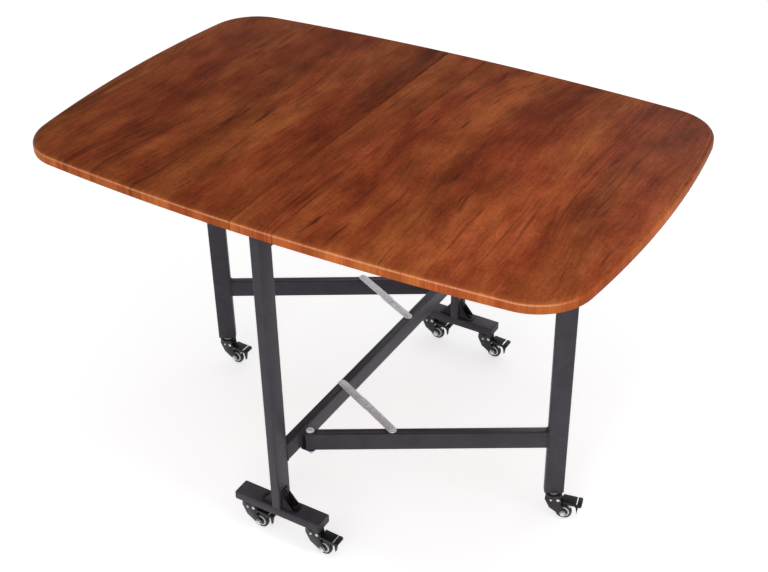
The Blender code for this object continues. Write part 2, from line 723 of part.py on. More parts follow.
def fork_cheek():
    """Raked cheek of the fork, as an XZ outline from the head down to a round toe about the axle."""
    axle = (TRAIL, AXLE_HEIGHT)
    under_head = FORK_TOP - FORK_HEAD_PLATE / 2
    brow = (-FORK_HEAD_RADIUS * 0.95, FORK_BROW_HEIGHT)
    belly = (FORK_BELLY_X, FORK_BELLY_HEIGHT)
    back = (FORK_BACK_X, FORK_BACK_HEIGHT)
    start = tangent_angle(belly, axle, FORK_TOE_RADIUS, 1)
    end = tangent_angle(back, axle, FORK_TOE_RADIUS, -1)
    toe = arc(axle, FORK_TOE_RADIUS, start, end + 2 * math.pi, 2 * ARC_STEPS)
    front_top = (-FORK_HEAD_RADIUS * 0.88, under_head)
    return [front_top, brow, belly] + toe + [back, (FORK_BACK_X * 0.85, under_head)]


def caster_fork():
    """Stamped fork: round head, two cheeks, and the axle with a nut on each side."""
    head = rod(FORK_HEAD_RADIUS, FORK_TOP - FORK_HEAD_PLATE, FORK_TOP, HEAD_SIDES)
    outline = fork_cheek()
    cheek_y = (FORK_GAP + FORK_PLATE) / 2
    cheeks = [placed(plate([outline], FORK_PLATE), STANDING, (0.0, sign * cheek_y, 0.0)) for sign in (-1, 1)]
    outer = FORK_GAP / 2 + FORK_PLATE
    end = outer + AXLE_NUT_WIDTH
    sunk = outer - FORK_PLATE / 2
    profile = [(0.0, end), (AXLE_NUT_RADIUS, end), (AXLE_NUT_RADIUS, sunk), (AXLE_RADIUS, sunk)]
    profile += [(radius, -height) for radius, height in reversed(profile)]
    axle = placed(turned(profile), STANDING, (TRAIL, 0.0, AXLE_HEIGHT))
    joined = combined(head, cheeks + [axle], "UNION")
    bore = rod(KING_PIN_RADIUS + RUN, FORK_TOP - 2 * FORK_HEAD_PLATE, FORK_TOP + FORK_HEAD_PLATE)
    return combined(joined, [bore], "DIFFERENCE")


def caster_wheel():
    """Wheel about its own axis along Y, with a hub that stands out and a flat facet under it."""
    half = WHEEL_WIDTH / 2
    hub = FORK_GAP / 2 - RUN
    bore = AXLE_RADIUS + RUN
    flat = 1.0 / math.cos(math.pi / WHEEL_SIDES)
    rim = WHEEL_RADIUS * flat
    upper = [(bore, hub), (HUB_RADIUS, hub), (rim - WHEEL_ROUND, half), (rim, half - WHEEL_ROUND)]
    profile = upper + [(radius, -height) for radius, height in reversed(upper)]
    mesh = turned(profile, WHEEL_SIDES, ring=True)
    half_facet = Matrix.Rotation(math.pi / WHEEL_SIDES, 4, "Z")
    return placed(mesh, STANDING @ half_facet)


def caster_pedal():
    """Brake pedal about its own pivot: hub, neck, flanged pad with a rolled end, and the brake tongue."""
    half = PEDAL_PLATE / 2
    roll = (PEDAL_LENGTH - PEDAL_ROLL_RADIUS, half - PEDAL_ROLL_RADIUS * 0.75)
    pad = [(PEDAL_NECK_LENGTH, -half), (roll[0], -half), (roll[0], half), (PEDAL_NECK_LENGTH, half)]
    body = placed(plate([pad], PEDAL_WIDTH), STANDING)
    roll_bar = placed(rod(PEDAL_ROLL_RADIUS, -PEDAL_WIDTH / 2 + FIT, PEDAL_WIDTH / 2 - FIT), STANDING)
    roll_bar = placed(roll_bar, offset=(roll[0], 0.0, roll[1]))
    neck_end = PEDAL_FLANGE_START
    neck = box((0.0, -PEDAL_NECK_WIDTH / 2, -half * 0.9), (neck_end, PEDAL_NECK_WIDTH / 2, half * 0.9))
    flange = [(PEDAL_FLANGE_START, 0.0), (PEDAL_FLANGE_START, -PEDAL_FLANGE_DEPTH * 0.5)]
    flange += [(PEDAL_FLANGE_START + PEDAL_FLANGE_DEPTH, -PEDAL_FLANGE_DEPTH), (roll[0], -PEDAL_FLANGE_DEPTH)]
    flange += [(roll[0], 0.0)]
    flange_y = (PEDAL_WIDTH - PEDAL_FLANGE_PLATE) / 2 - 2 * FIT
    flanges = []
    for sign in (-1, 1):
        flanges.append(placed(plate([flange], PEDAL_FLANGE_PLATE), STANDING, (0.0, sign * flange_y, 0.0)))
    joined = combined(body, [roll_bar, neck] + flanges, "UNION")
    joined = placed(joined, Matrix.Rotation(PEDAL_SLOPE, 4, "Y"))
    root = TONGUE_ROOT_X * math.tan(PEDAL_SLOPE)
    back = TONGUE_BACK_X * math.tan(PEDAL_SLOPE)
    tongue = [(TONGUE_ROOT_X, -root), (TONGUE_ROOT_X, -root - 2 * half)]
    bend = (TONGUE_THROAT_X - TONGUE_BEND, -(root + TONGUE_THROAT_DROP) / 2)
    tongue += [bend, (TONGUE_THROAT_X, -TONGUE_THROAT_DROP)]
    tongue += [(TONGUE_TIP_X, -TONGUE_TIP_DROP), (TONGUE_BACK_X, -TONGUE_BACK_DROP), (TONGUE_BACK_X, -back)]
    hook = placed(plate([tongue], TONGUE_WIDTH), STANDING)
    hub = placed(rod(PEDAL_HUB_RADIUS, -(FORK_GAP / 2 - RUN), FORK_GAP / 2 - RUN), STANDING)
    return combined(joined, [hook, hub], "UNION")


def stem_profile(stud_top):
    """Profile of a caster stem: stud, collar, king pin and the head that carries the fork."""
    collar_top = CASTER_HEIGHT - FIT
    collar_low = collar_top - COLLAR_HEIGHT
    head_top = FORK_TOP - FORK_HEAD_PLATE - RUN
    head_low = head_top - KING_HEAD_HEIGHT
    profile = [(0.0, stud_top), (STUD_RADIUS, stud_top), (STUD_RADIUS, collar_top)]
    profile += [(COLLAR_RADIUS, collar_top), (COLLAR_RADIUS, collar_low)]
    profile += [(KING_PIN_RADIUS, collar_low), (KING_PIN_RADIUS, head_top)]
    profile += [(KING_HEAD_RADIUS, head_top), (KING_HEAD_RADIUS * 0.7, head_low), (0.0, head_low)]
    return profile


def foot_stem():
    """Stem whose stud stands in a foot tube's lower wall."""
    return turned(stem_profile(CASTER_HEIGHT + STUD_LENGTH))


def gate_stem():
    """Stem with the plug that fills the lower end of a gate leg."""
    plug = tube_filler(TUBE_WIDE, TUBE_THIN, STEM_PLUG)
    plug = placed(plug, offset=(0.0, 0.0, CASTER_HEIGHT + STEM_PLUG / 2))
    return combined(plug, [turned(stem_profile(CASTER_HEIGHT + STEM_PLUG / 2))], "UNION")


def build_caster(name, stem, shapes, place, gate=None, gate_turn=0.0):
    """One caster at a place of the frame, or of a gate's frame that is turned by gate_turn."""
    fork, wheel, pedal = shapes
    part(f"caster_{name}_stem", stem, "zinc_steel", gate, place)
    yaw = CASTER_YAW.get(name, 0.0)
    swivel = joint_axis(f"caster_{name}_swivel_axis", place, yaw - gate_turn, gate)
    part(f"caster_{name}_fork", fork, "black_steel", swivel)
    part(f"caster_{name}_wheel", wheel, "wheel_rubber", swivel, (TRAIL, 0.0, AXLE_HEIGHT))
    part(f"caster_{name}_pedal", pedal, "black_steel", swivel, (PEDAL_PIVOT_X, 0.0, PEDAL_PIVOT_HEIGHT))


def build_gates_and_casters():
    """Both gates with their braces, the gate casters and the foot casters."""
    on_stretcher, on_gate, link_length = brace_anchors()
    brace_angle = math.atan2(on_gate.y - on_stretcher.y, on_gate.x - on_stretcher.x)
    bar = gate_bar()
    leg = gate_leg()
    bolt = pivot_bolt()
    lower_link = stretcher_link(link_length)
    upper_link = gate_link(link_length)
    shapes = (caster_fork(), caster_wheel(), caster_pedal())
    plugged_stem = gate_stem()
    plain_stem = foot_stem()
    for side, sign, turn in (("right", 1, 0.0), ("left", -1, math.pi)):
        gate_turn = GATE_ANGLE + turn
        gate = joint_axis(f"gate_{side}_axis", (sign * PIVOT_X, sign * PIVOT_Y, 0.0), gate_turn)
        part(f"gate_{side}_bar", bar, "charcoal_steel", gate)
        part(f"gate_{side}_leg", leg, "charcoal_steel", gate)
        part(f"gate_{side}_pivot_bolt", bolt, "zinc_steel", place=(sign * PIVOT_X, sign * PIVOT_Y, 0.0))
        lower_turn = brace_angle + turn
        part(f"brace_{side}_lower_link", lower_link, "zinc_steel", None, sign * on_stretcher, lower_turn)
        upper_turn = brace_angle + math.pi - GATE_ANGLE
        part(f"brace_{side}_upper_link", upper_link, "zinc_steel", gate, (BRACE_ARM, 0.0, 0.0), upper_turn)
        build_caster(f"gate_{side}", plugged_stem, shapes, (GATE_REACH, 0.0, 0.0), gate, gate_turn)
        for end, end_sign in (("near", -1), ("far", 1)):
            build_caster(f"{end}_{side}", plain_stem, shapes, (sign * SWIVEL_OFFSET, end_sign * LEG_Y, 0.0))


build_boards()
build_hinges()
build_centre_frame()
build_gates_and_casters()
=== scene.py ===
"""Looks of a folding dining table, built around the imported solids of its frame.

Metres, +Z up. X runs along the length of the top, Y across it, and the origin is on the floor under the
middle of the top. "Right" is +X, "left" is -X, "near" is -Y and "far" is +Y. Every piece keeps its object at
the origin, with its place in its mesh, so that patterns on object coordinates stay where they are.
"""

from __future__ import annotations

import json
import logging
import math
from dataclasses import dataclass, fields
from enum import Enum, IntEnum, auto
from typing import Any, ClassVar, Iterable, Sequence

import bmesh
import bpy
from mathutils import Matrix, Vector

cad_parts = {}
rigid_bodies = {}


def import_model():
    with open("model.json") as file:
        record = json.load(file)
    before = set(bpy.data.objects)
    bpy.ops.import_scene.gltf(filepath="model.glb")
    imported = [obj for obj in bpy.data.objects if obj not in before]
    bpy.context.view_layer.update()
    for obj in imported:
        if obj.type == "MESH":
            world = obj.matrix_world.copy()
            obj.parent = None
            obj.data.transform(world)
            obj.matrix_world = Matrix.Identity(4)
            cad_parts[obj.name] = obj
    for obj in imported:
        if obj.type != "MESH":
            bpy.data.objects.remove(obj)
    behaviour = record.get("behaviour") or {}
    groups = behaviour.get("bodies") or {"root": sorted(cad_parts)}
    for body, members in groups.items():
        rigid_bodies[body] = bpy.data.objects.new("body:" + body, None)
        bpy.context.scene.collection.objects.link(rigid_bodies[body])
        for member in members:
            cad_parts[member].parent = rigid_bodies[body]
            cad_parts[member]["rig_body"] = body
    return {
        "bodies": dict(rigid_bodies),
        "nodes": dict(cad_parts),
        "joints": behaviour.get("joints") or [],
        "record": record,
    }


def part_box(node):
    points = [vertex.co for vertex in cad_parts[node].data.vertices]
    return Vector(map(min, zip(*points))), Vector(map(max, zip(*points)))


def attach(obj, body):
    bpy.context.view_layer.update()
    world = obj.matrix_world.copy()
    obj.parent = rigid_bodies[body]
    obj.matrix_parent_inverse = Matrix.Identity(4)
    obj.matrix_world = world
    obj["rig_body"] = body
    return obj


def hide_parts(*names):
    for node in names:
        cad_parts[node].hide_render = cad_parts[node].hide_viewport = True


Colour = tuple[float, float, float]
Point2 = tuple[float, float]
Point3 = tuple[float, float, float]
Socket = bpy.types.NodeSocket
Mesh = bpy.types.Mesh

LOG = logging.getLogger("folding_table")
WELD = 1e-6
SMOOTH_ANGLE = math.radians(38.0)
ORIGIN: Point3 = (0.0, 0.0, 0.0)
WHITE = (1.0, 1.0, 1.0, 1.0)
UP = Vector((0.0, 0.0, 1.0))
ACROSS = Vector((0.0, 1.0, 0.0))

# Sizes that several pieces share

TOP_LEVEL = 0.750
BOARD = 0.022
UNDERSIDE = TOP_LEVEL - BOARD
TUBE_THIN = 0.020
TUBE_WIDE = 0.040
TUBE_ROUND = 0.0032
TUBE_EASE = 0.0005
TUBE_STEPS = 4
BEAD_GAP = 0.0002
FIT = 0.0003
HEXAGON = 6


class Named(Enum):
    """An option whose name is also its word in the names of the nodes."""

    @property
    def word(self) -> str:
        """The option's word."""
        return self.name.lower()


class Side(Named):
    """The two long directions of the table, with the sign of X."""

    RIGHT = 1
    LEFT = -1


class End(Named):
    """The two short directions of the table, with the sign of Y."""

    NEAR = -1
    FAR = 1


class Spot(Named):
    """Where a caster stands."""

    NEAR_RIGHT = auto()
    NEAR_LEFT = auto()
    FAR_RIGHT = auto()
    FAR_LEFT = auto()
    GATE_RIGHT = auto()
    GATE_LEFT = auto()


class Band(IntEnum):
    """The finishes of a wheel, in the order of its materials."""

    TYRE = 0
    RING = 1
    HUB = 2


# Node graphs


@dataclass(frozen=True)
class Span:
    """A stretch of values, and what its two ends are carried over to."""

    low: float
    high: float
    start: float = 0.0
    end: float = 1.0

    def about(self, level: float, share: float = 1.0) -> Span:
        """The same stretch, carried over to a share of its ends around a level."""
        return Span(self.low, self.high, level + share * self.start, level + share * self.end)


class Graph:
    """A node tree with short calls for adding and wiring nodes."""

    def __init__(self, tree: bpy.types.NodeTree) -> None:
        """Keep the tree that the nodes go into."""
        self.tree = tree

    def feed(self, socket: Socket, value: Any) -> None:
        """Wire another node's socket into a socket, or set a plain value on it.

        Args:
            socket: Input socket to fill.
            value: Output socket or plain value.
        """
        if isinstance(value, Socket):
            self.tree.links.new(value, socket)
        else:
            socket.default_value = value

    def node(self, kind: str, inputs: dict[str | int, Any] | None = None, **settings: Any) -> bpy.types.Node:
        """Add a node.

        Args:
            kind: Blender's name of the node type.
            inputs: Values or sockets for its inputs, by name or index.
            settings: Properties of the node.

        Returns:
            The new node.
        """
        made = self.tree.nodes.new(kind)
        for key, value in settings.items():
            setattr(made, key, value)
        for key, value in (inputs or {}).items():
            self.feed(made.inputs[key], value)
        return made

    def worked(self, operation: str, first: Any, second: Any = 0.0) -> Socket:
        """Result of a math operation on two values."""
        return self.node("ShaderNodeMath", {0: first, 1: second}, operation=operation).outputs[0]

    def product(self, first: Any, *factors: Any) -> Socket:
        """Multiply values.

        Args:
            first: First factor.
            factors: One or more further factors.

        Returns:
            The product's socket.
        """
        result = first
        for factor in factors:
            result = self.worked("MULTIPLY", result, factor)
        return result

    def seen(self) -> Socket:
        """Tell rays that look at a surface from rays that light it.

        Returns:
            1 for rays that come directly, by a mirror or through glass, and 0 for the rest.
        """
        path = self.node("ShaderNodeLightPath").outputs
        mirrored = self.worked("MAXIMUM", path["Is Glossy Ray"], path["Is Transmission Ray"])
        return self.worked("MAXIMUM", path["Is Camera Ray"], mirrored)


class ShaderGraph(Graph):
    """A material's node tree around its Principled shader.

    A Mix node has a socket for each type of data, so those for colours are listed: factor, lower and upper.
    """

    mix_inputs: ClassVar[tuple[int, ...]] = (0, 6, 7)
    mix_result: ClassVar[int] = 2

    def __init__(self, name: str) -> None:
        """Make an empty material.

        Args:
            name: Name of the material.
        """
        self.material = bpy.data.materials.new(name)
        self.material.use_nodes = True
        super().__init__(self.material.node_tree)
        self.shader = self.tree.nodes["Principled BSDF"]

    def surface(self, **values: Any) -> None:
        """Fill the shader's inputs, named with underscores for spaces."""
        for key, value in values.items():
            self.feed(self.shader.inputs[key.replace("_", " ")], value)

    def place(self) -> Socket:
        """The surface point in object coordinates."""
        return self.node("ShaderNodeTexCoord").outputs["Object"]

    def mapped(self, vector: Socket, scale: Point3, shift: Point3 = ORIGIN) -> Socket:
        """A point stretched to cycles per metre along each axis, and then moved."""
        inputs = {"Vector": vector, "Scale": scale, "Location": shift}
        return self.node("ShaderNodeMapping", inputs).outputs["Vector"]

    def noise(self, vector: Socket, scale: float = 1.0, detail: float = 2.0, rough: float = 0.5) -> Socket:
        """Fractal noise from 0 to 1 at a point."""
        inputs = {"Vector": vector, "Scale": scale, "Detail": detail, "Roughness": rough}
        return self.node("ShaderNodeTexNoise", inputs).outputs["Fac"]

    def ranged(self, value: Socket, span: Span) -> Socket:
        """Carry a value over, smoothly and with clamped ends.

        Args:
            value: Value to carry over.
            span: Its range, and the range that it is carried to.

        Returns:
            The new value's socket.
        """
        ends = {"From Min": span.low, "From Max": span.high, "To Min": span.start, "To Max": span.end}
        made = self.node("ShaderNodeMapRange", {"Value": value, **ends}, interpolation_type="SMOOTHSTEP")
        return made.outputs["Result"]

    def ramp(self, factor: Socket, stops: Sequence[tuple[float, Colour]]) -> Socket:
        """Colour along a ramp.

        Args:
            factor: Place on the ramp.
            stops: Positions with their colours.

        Returns:
            The colour's socket.
        """
        made = self.node("ShaderNodeValToRGB", {"Fac": factor})
        elements = made.color_ramp.elements
        while len(elements) < len(stops):
            elements.new(1.0)
        for element, (position, colour) in zip(elements, stops):
            element.position = position
            element.color = (*colour, 1.0)
        return made.outputs["Color"]

    def mixed(self, factor: Any, first: Any, second: Any, blend: str = "MIX") -> Socket:
        """Blend two colours.

        Args:
            factor: Share of the blend.
            first: Colour or colour socket below.
            second: Colour or colour socket above.
            blend: Blender's name of the way to blend.

        Returns:
            The blended colour's socket.
        """
        made = self.node("ShaderNodeMix", data_type="RGBA", blend_type=blend)
        for index, value in zip(self.mix_inputs, (factor, first, second)):
            self.feed(made.inputs[index], (*value, 1.0) if isinstance(value, tuple) else value)
        return made.outputs[self.mix_result]

    def shaded(self, colour: Socket, factor: Socket) -> Socket:
        """Multiply a colour by a factor."""
        grey = self.node("ShaderNodeCombineColor", {0: factor, 1: factor, 2: factor}).outputs[0]
        return self.mixed(1.0, colour, grey, "MULTIPLY")

    def relief(self, height: Socket, strength: float, depth: float) -> None:
        """Raise the surface's shading by a height from 0 to 1, where 1 stands for a depth in metres."""
        bump = self.node("ShaderNodeBump", {"Height": height, "Strength": strength, "Distance": depth})
        self.feed(self.shader.inputs["Normal"], bump.outputs["Normal"])


class GeometryGraph(Graph):
    """A geometry node group with named inputs for its sizes."""

    def __init__(self, name: str) -> None:
        """Make a group with a geometry input and output.

        Args:
            name: Name of the group.
        """
        super().__init__(bpy.data.node_groups.new(name, "GeometryNodeTree"))
        for way in ("INPUT", "OUTPUT"):
            self.tree.interface.new_socket("Geometry", in_out=way, socket_type="NodeSocketGeometry")
        self.entry = self.tree.nodes.new("NodeGroupInput")
        self.outlet = self.tree.nodes.new("NodeGroupOutput")

    def size(self, name: str, kind: str = "NodeSocketFloat") -> Socket:
        """Add a named input and return its socket inside the group."""
        self.tree.interface.new_socket(name, in_out="INPUT", socket_type=kind)
        return self.entry.outputs[name]

    def sizes(self, *names: str) -> list[Socket]:
        """Add several named sizes and return their sockets inside the group."""
        return [self.size(name) for name in names]

    def seeds(self) -> Socket:
        """The geometry that the modifier sits on."""
        return self.entry.outputs["Geometry"]

    def stepped(self, mesh: Socket, top: Socket, rise: Any, share: Any) -> tuple[Socket, Socket]:
        """Raise a face of a shape and scale it.

        Args:
            mesh: Shape to change.
            top: Selection of the face.
            rise: Height of the step.
            share: Scale of the raised face.

        Returns:
            The changed shape and the selection of its raised face.
        """
        inputs = {"Mesh": mesh, "Selection": top, "Offset Scale": rise}
        grown = self.node("GeometryNodeExtrudeMesh", inputs).outputs
        inputs = {"Geometry": grown["Mesh"], "Selection": grown["Top"], "Scale": share}
        return self.node("GeometryNodeScaleElements", inputs).outputs[0], grown["Top"]

    def stood(self, shape: Socket, height: Socket) -> Socket:
        """Raise a shape by half of a height, from its middle to its foot."""
        lift = self.node("ShaderNodeCombineXYZ", {"Z": self.product(height, 0.5)}).outputs[0]
        return self.node("GeometryNodeTransform", {"Geometry": shape, "Translation": lift}).outputs[0]

    def at_points(self, instance: Socket) -> Socket:
        """Put a copy of a shape at every seed point.

        Args:
            instance: Shape to copy, whose Z is turned to the point's facing.

        Returns:
            The copies.
        """
        named = self.node("GeometryNodeInputNamedAttribute", {"Name": "facing"}, data_type="FLOAT_VECTOR")
        inputs = {"Vector": named.outputs["Attribute"]}
        turn = self.node("FunctionNodeAlignRotationToVector", inputs, axis="Z").outputs["Rotation"]
        inputs = {"Points": self.seeds(), "Instance": instance, "Rotation": turn}
        return self.node("GeometryNodeInstanceOnPoints", inputs).outputs["Instances"]

    def close(self, geometry: Socket) -> None:
        """End the group with plain geometry in the material of its Material input.

        Args:
            geometry: What the group has made.
        """
        real = self.node("GeometryNodeRealizeInstances", {"Geometry": geometry}).outputs["Geometry"]
        material = self.size("Material", "NodeSocketMaterial")
        dressed = self.node("GeometryNodeSetMaterial", {"Geometry": real, "Material": material})
        self.feed(self.outlet.inputs["Geometry"], dressed.outputs["Geometry"])

    def grow(self, seed: Mesh, values: dict[str, Any]) -> Mesh:
        """Run the group on a seed mesh.

        Args:
            seed: Points or edges that the group starts from.
            values: The group's inputs by name.

        Returns:
            A plain mesh of the result.
        """
        obj = bpy.data.objects.new("seed", seed)
        bpy.context.scene.collection.objects.link(obj)
        modifier = obj.modifiers.new("grow", "NODES")
        modifier.node_group = self.tree
        for item in self.tree.interface.items_tree:
            if item.in_out == "INPUT" and item.name in values:
                modifier[item.identifier] = values[item.name]
        bpy.context.view_layer.update()
        graph = bpy.context.evaluated_depsgraph_get()
        mesh = bpy.data.meshes.new_from_object(obj.evaluated_get(graph), depsgraph=graph)
        bpy.data.objects.remove(obj)
        return mesh


# Finishes


@dataclass(frozen=True)
class Finish:
    """A surface finish that makes its material once."""

    name: str
    slot: str
    colour: Colour
    made: ClassVar[dict[str, bpy.types.Material]] = {}

    def material(self) -> bpy.types.Material:
        """Make the finish's material at its first use.

        Returns:
            The material.
        """
        if self.name not in Finish.made:
            graph = ShaderGraph(self.name)
            self.paint(graph)
            Finish.made[self.name] = graph.material
        return Finish.made[self.name]

    def tone(self, share: float) -> Colour:
        """The finish's colour at a share of its brightness, at most white."""
        return tuple(min(1.0, share * channel) for channel in self.colour)

    def toned(self, graph: ShaderGraph, noise: Socket, tones: Span) -> Socket:
        """The finish's colour between two shares of its brightness, along a noise."""
        stops = ((tones.low, self.tone(tones.start)), (tones.high, self.tone(tones.end)))
        return graph.ramp(noise, stops)

    def paint(self, graph: ShaderGraph) -> None:
        """Build the finish's nodes in an empty material."""
        raise NotImplementedError


@dataclass(frozen=True)
class Cloud:
    """Noise that is the same in all directions: its cycles per metre, its octaves and their roughness."""

    scale: float
    detail: float = 2.0
    rough: float = 0.5

    def on(self, graph: ShaderGraph, place: Socket) -> Socket:
        """The noise, from 0 to 1, at a point of the piece."""
        return graph.noise(place, self.scale, self.detail, self.rough)


@dataclass(frozen=True)
class Grain:
    """Noise that is stretched along a board: cycles per metre across and along it, and its start."""

    across: float
    along: float
    start: Point2 = (0.0, 0.0)
    detail: float = 2.0
    rough: float = 0.5

    def on(self, graph: ShaderGraph, place: Socket) -> Socket:
        """The noise, from 0 to 1, at a point of the board."""
        stretched = graph.mapped(place, (self.across, self.along, 0.0), (*self.start, 0.0))
        return graph.noise(stretched, detail=self.detail, rough=self.rough)


@dataclass(frozen=True)
class WoodLaminate(Finish):
    """Printed wood laminate with its grain along Y."""

    deep: Colour = (0.120, 0.0215, 0.0068)
    warm: Colour = (0.334, 0.0840, 0.0262)
    dark: Colour = (0.026, 0.0070, 0.0028)
    ruddy: Colour = (0.98, 0.87, 0.90)
    golden: Colour = (1.02, 1.13, 1.02)
    shift: Point3 = ORIGIN
    gloss: float = 0.008
    roughness: Span = Span(0.2, 0.8, 0.46, 0.34)
    crisp: float = 1.0
    relief: Point2 = (0.30, 0.00008)
    band_share: float = 0.60
    tone_stops: Point3 = (0.38, 0.50, 0.63)
    slow_push: Span = Span(0.2, 0.8, -0.032, 0.032)
    quick_push: Span = Span(0.2, 0.8, -0.004, 0.004)
    cast_span: Span = Span(0.36, 0.64)
    line_span: Span = Span(0.28, 0.72, -0.16, 0.14)
    dot_span: Span = Span(0.34, 0.60, -0.11, 0.04)
    fleck_span: Span = Span(0.3, 0.7, 0.88, 1.12)
    ragged_span: Span = Span(0.25, 0.75, -0.09, 0.09)
    streak_span: Span = Span(0.59, 0.79, 0.0, 0.80)
    vein_level: float = 0.5
    vein_span: Span = Span(0.002, 0.022, 0.40, 0.0)
    fade_span: Span = Span(0.42, 0.60)
    slow_sway: Grain = Grain(2.4, 1.2)
    quick_sway: Grain = Grain(11.0, 5.0, (3.1, 0.0))
    bands: Grain = Grain(8.0, 1.7, detail=4.0, rough=0.6)
    blotches: Grain = Grain(19.0, 9.0, (5.0, 2.0), 5.0, 0.62)
    casts: Grain = Grain(12.0, 1.4, (8.0, 3.0), 3.0, 0.55)
    fibres: Grain = Grain(150.0, 9.0, detail=4.0, rough=0.65)
    flecks: Grain = Grain(200.0, 110.0, detail=3.0, rough=0.6)
    pores: Grain = Grain(520.0, 26.0)
    patches: Grain = Grain(42.0, 5.0, (7.7, 1.3), 3.0, 0.6)
    veins: Grain = Grain(22.0, 0.45, (2.2, 9.0))
    fading: Grain = Grain(6.0, 3.0, (1.4, 4.0))

    def paint(self, graph: ShaderGraph) -> None:
        """The print under a thin gloss, with the relief of its fibres and pores.

        Args:
            graph: Empty material to fill.
        """
        grain = self.swayed(graph, graph.mapped(graph.place(), (1.0, 1.0, 1.0), self.shift))
        fibre = self.fibres.on(graph, grain)
        pores = self.pores.on(graph, grain)
        graph.surface(
            Base_Color=self.drawn_over(graph, self.printed(graph, grain, fibre, pores), fibre),
            Roughness=graph.ranged(fibre, self.roughness),
            Specular_IOR_Level=self.gloss,
        )
        graph.relief(graph.worked("ADD", pores, fibre), *self.relief)

    def swayed(self, graph: ShaderGraph, place: Socket) -> Socket:
        """Push the grain sideways by slow and by quick waves.

        Args:
            graph: Material that takes the nodes.
            place: Point of the board.

        Returns:
            The point on the swayed grain.
        """
        slow = graph.ranged(self.slow_sway.on(graph, place), self.slow_push)
        quick = graph.ranged(self.quick_sway.on(graph, place), self.quick_push)
        push = graph.node("ShaderNodeCombineXYZ", {"X": graph.worked("ADD", slow, quick)}).outputs[0]
        return graph.node("ShaderNodeVectorMath", {0: place, 1: push}, operation="ADD").outputs[0]

    def printed(self, graph: ShaderGraph, grain: Socket, fibre: Socket, pores: Socket) -> Socket:
        """Broad tone bands with blotches and casts, under fibres, pores, flecks and dark streaks.

        Args:
            graph: Material that takes the nodes.
            grain: Point on the swayed grain.
            fibre: Noise of the fibres.
            pores: Noise of the pores.

        Returns:
            The print's colour.
        """
        bands = graph.product(self.bands.on(graph, grain), self.band_share)
        blotches = graph.product(self.blotches.on(graph, grain), 1.0 - self.band_share)
        stops = tuple(zip(self.tone_stops, (self.deep, self.colour, self.warm)))
        colour = graph.ramp(graph.worked("ADD", bands, blotches), stops)
        golden = graph.ranged(self.casts.on(graph, grain), self.cast_span)
        colour = graph.mixed(1.0, colour, graph.mixed(golden, self.ruddy, self.golden), "MULTIPLY")
        lines = graph.ranged(fibre, self.line_span.about(1.0, self.crisp))
        dots = graph.ranged(pores, self.dot_span.about(1.0, self.crisp))
        flecks = graph.ranged(self.flecks.on(graph, grain), self.fleck_span)
        colour = graph.shaded(colour, graph.product(lines, dots, flecks))
        return graph.mixed(self.streaks(graph, grain, fibre), colour, self.dark)

    def streaks(self, graph: ShaderGraph, grain: Socket, fibre: Socket) -> Socket:
        """Ragged short streaks and a few long veins.

        Args:
            graph: Material that takes the nodes.
            grain: Point on the swayed grain.
            fibre: Noise of the fibres.

        Returns:
            Share of the dark colour.
        """
        rough = graph.ranged(fibre, self.ragged_span)
        ragged = graph.worked("ADD", self.patches.on(graph, grain), rough)
        streak = graph.ranged(ragged, self.streak_span)
        off = graph.worked("SUBTRACT", self.veins.on(graph, grain), self.vein_level)
        faded = graph.ranged(self.fading.on(graph, grain), self.fade_span)
        vein = graph.product(graph.ranged(graph.worked("ABSOLUTE", off), self.vein_span), faded)
        return graph.worked("MAXIMUM", streak, vein)

    def drawn_over(self, graph: ShaderGraph, colour: Socket, fibre: Socket) -> Socket:
        """The print's colour where it lies flat, with no painted light."""
        return colour


@dataclass(frozen=True)
class EdgeBand(WoodLaminate):
    """The laminate where it is drawn round a board's edge, with painted light: lighter sides, most of all
    across its grain.
    """

    deep: Colour = (0.140, 0.0285, 0.0074)
    warm: Colour = (0.335, 0.0930, 0.0262)
    gloss: float = 0.015
    roughness: Span = Span(0.2, 0.8, 0.38, 0.28)
    crisp: float = 0.40
    relief: Point2 = (0.20, 0.00006)
    # Painted highlight: colour and place of the pale line along the arris
    bare: Colour = (0.82, 0.43, 0.25)
    bare_span: Span = Span(0.3, 0.7, 0.35, 0.8)
    arris: float = TOP_LEVEL - 0.0053
    spread: float = 0.0021
    across_span: Span = Span(0.3, 0.9)
    # Painted light on the vertical faces below the shoulder, stronger on the long sides
    drawn_span: Span = Span(0.0, 1.0, 0.80, 1.30)
    shoulder: Span = Span(TOP_LEVEL - 0.0060, TOP_LEVEL - 0.0003, 1.0, 0.0)
    # Painted shade: darker towards the lower rim
    rim: Span = Span(UNDERSIDE + 0.0003, UNDERSIDE + 0.0023, 0.6, 1.0)

    def drawn_over(self, graph: ShaderGraph, colour: Socket, fibre: Socket) -> Socket:
        """Painted light below the shoulder, with a painted highlight line on the arris and painted shade on
        the lower rim.

        Args:
            graph: Material that takes the nodes.
            colour: The print's colour.
            fibre: Noise of the fibres.

        Returns:
            The colour on the edge.
        """
        normal = graph.node("ShaderNodeNewGeometry").outputs["Normal"]
        facing = graph.node("ShaderNodeSeparateXYZ", {0: normal}).outputs["Y"]
        across = graph.ranged(graph.worked("ABSOLUTE", facing), self.across_span)
        height = graph.node("ShaderNodeSeparateXYZ", {0: graph.place()}).outputs["Z"]
        # Painted light: the vertical faces made lighter, most of all on the long sides
        lit_face = graph.product(graph.ranged(height, self.shoulder), graph.ranged(across, self.drawn_span))
        # Painted shade towards the lower rim
        lower = graph.ranged(height, self.rim)
        colour = graph.shaded(colour, graph.product(graph.worked("ADD", lit_face, 1.0), lower))
        # Painted highlight line along the arris, on the long sides
        rise = graph.ranged(height, Span(self.arris - self.spread, self.arris))
        fall = graph.ranged(height, Span(self.arris, self.arris + self.spread, 1.0, 0.0))
        line = graph.product(rise, fall, across, graph.ranged(fibre, self.bare_span))
        return graph.mixed(line, colour, self.bare)


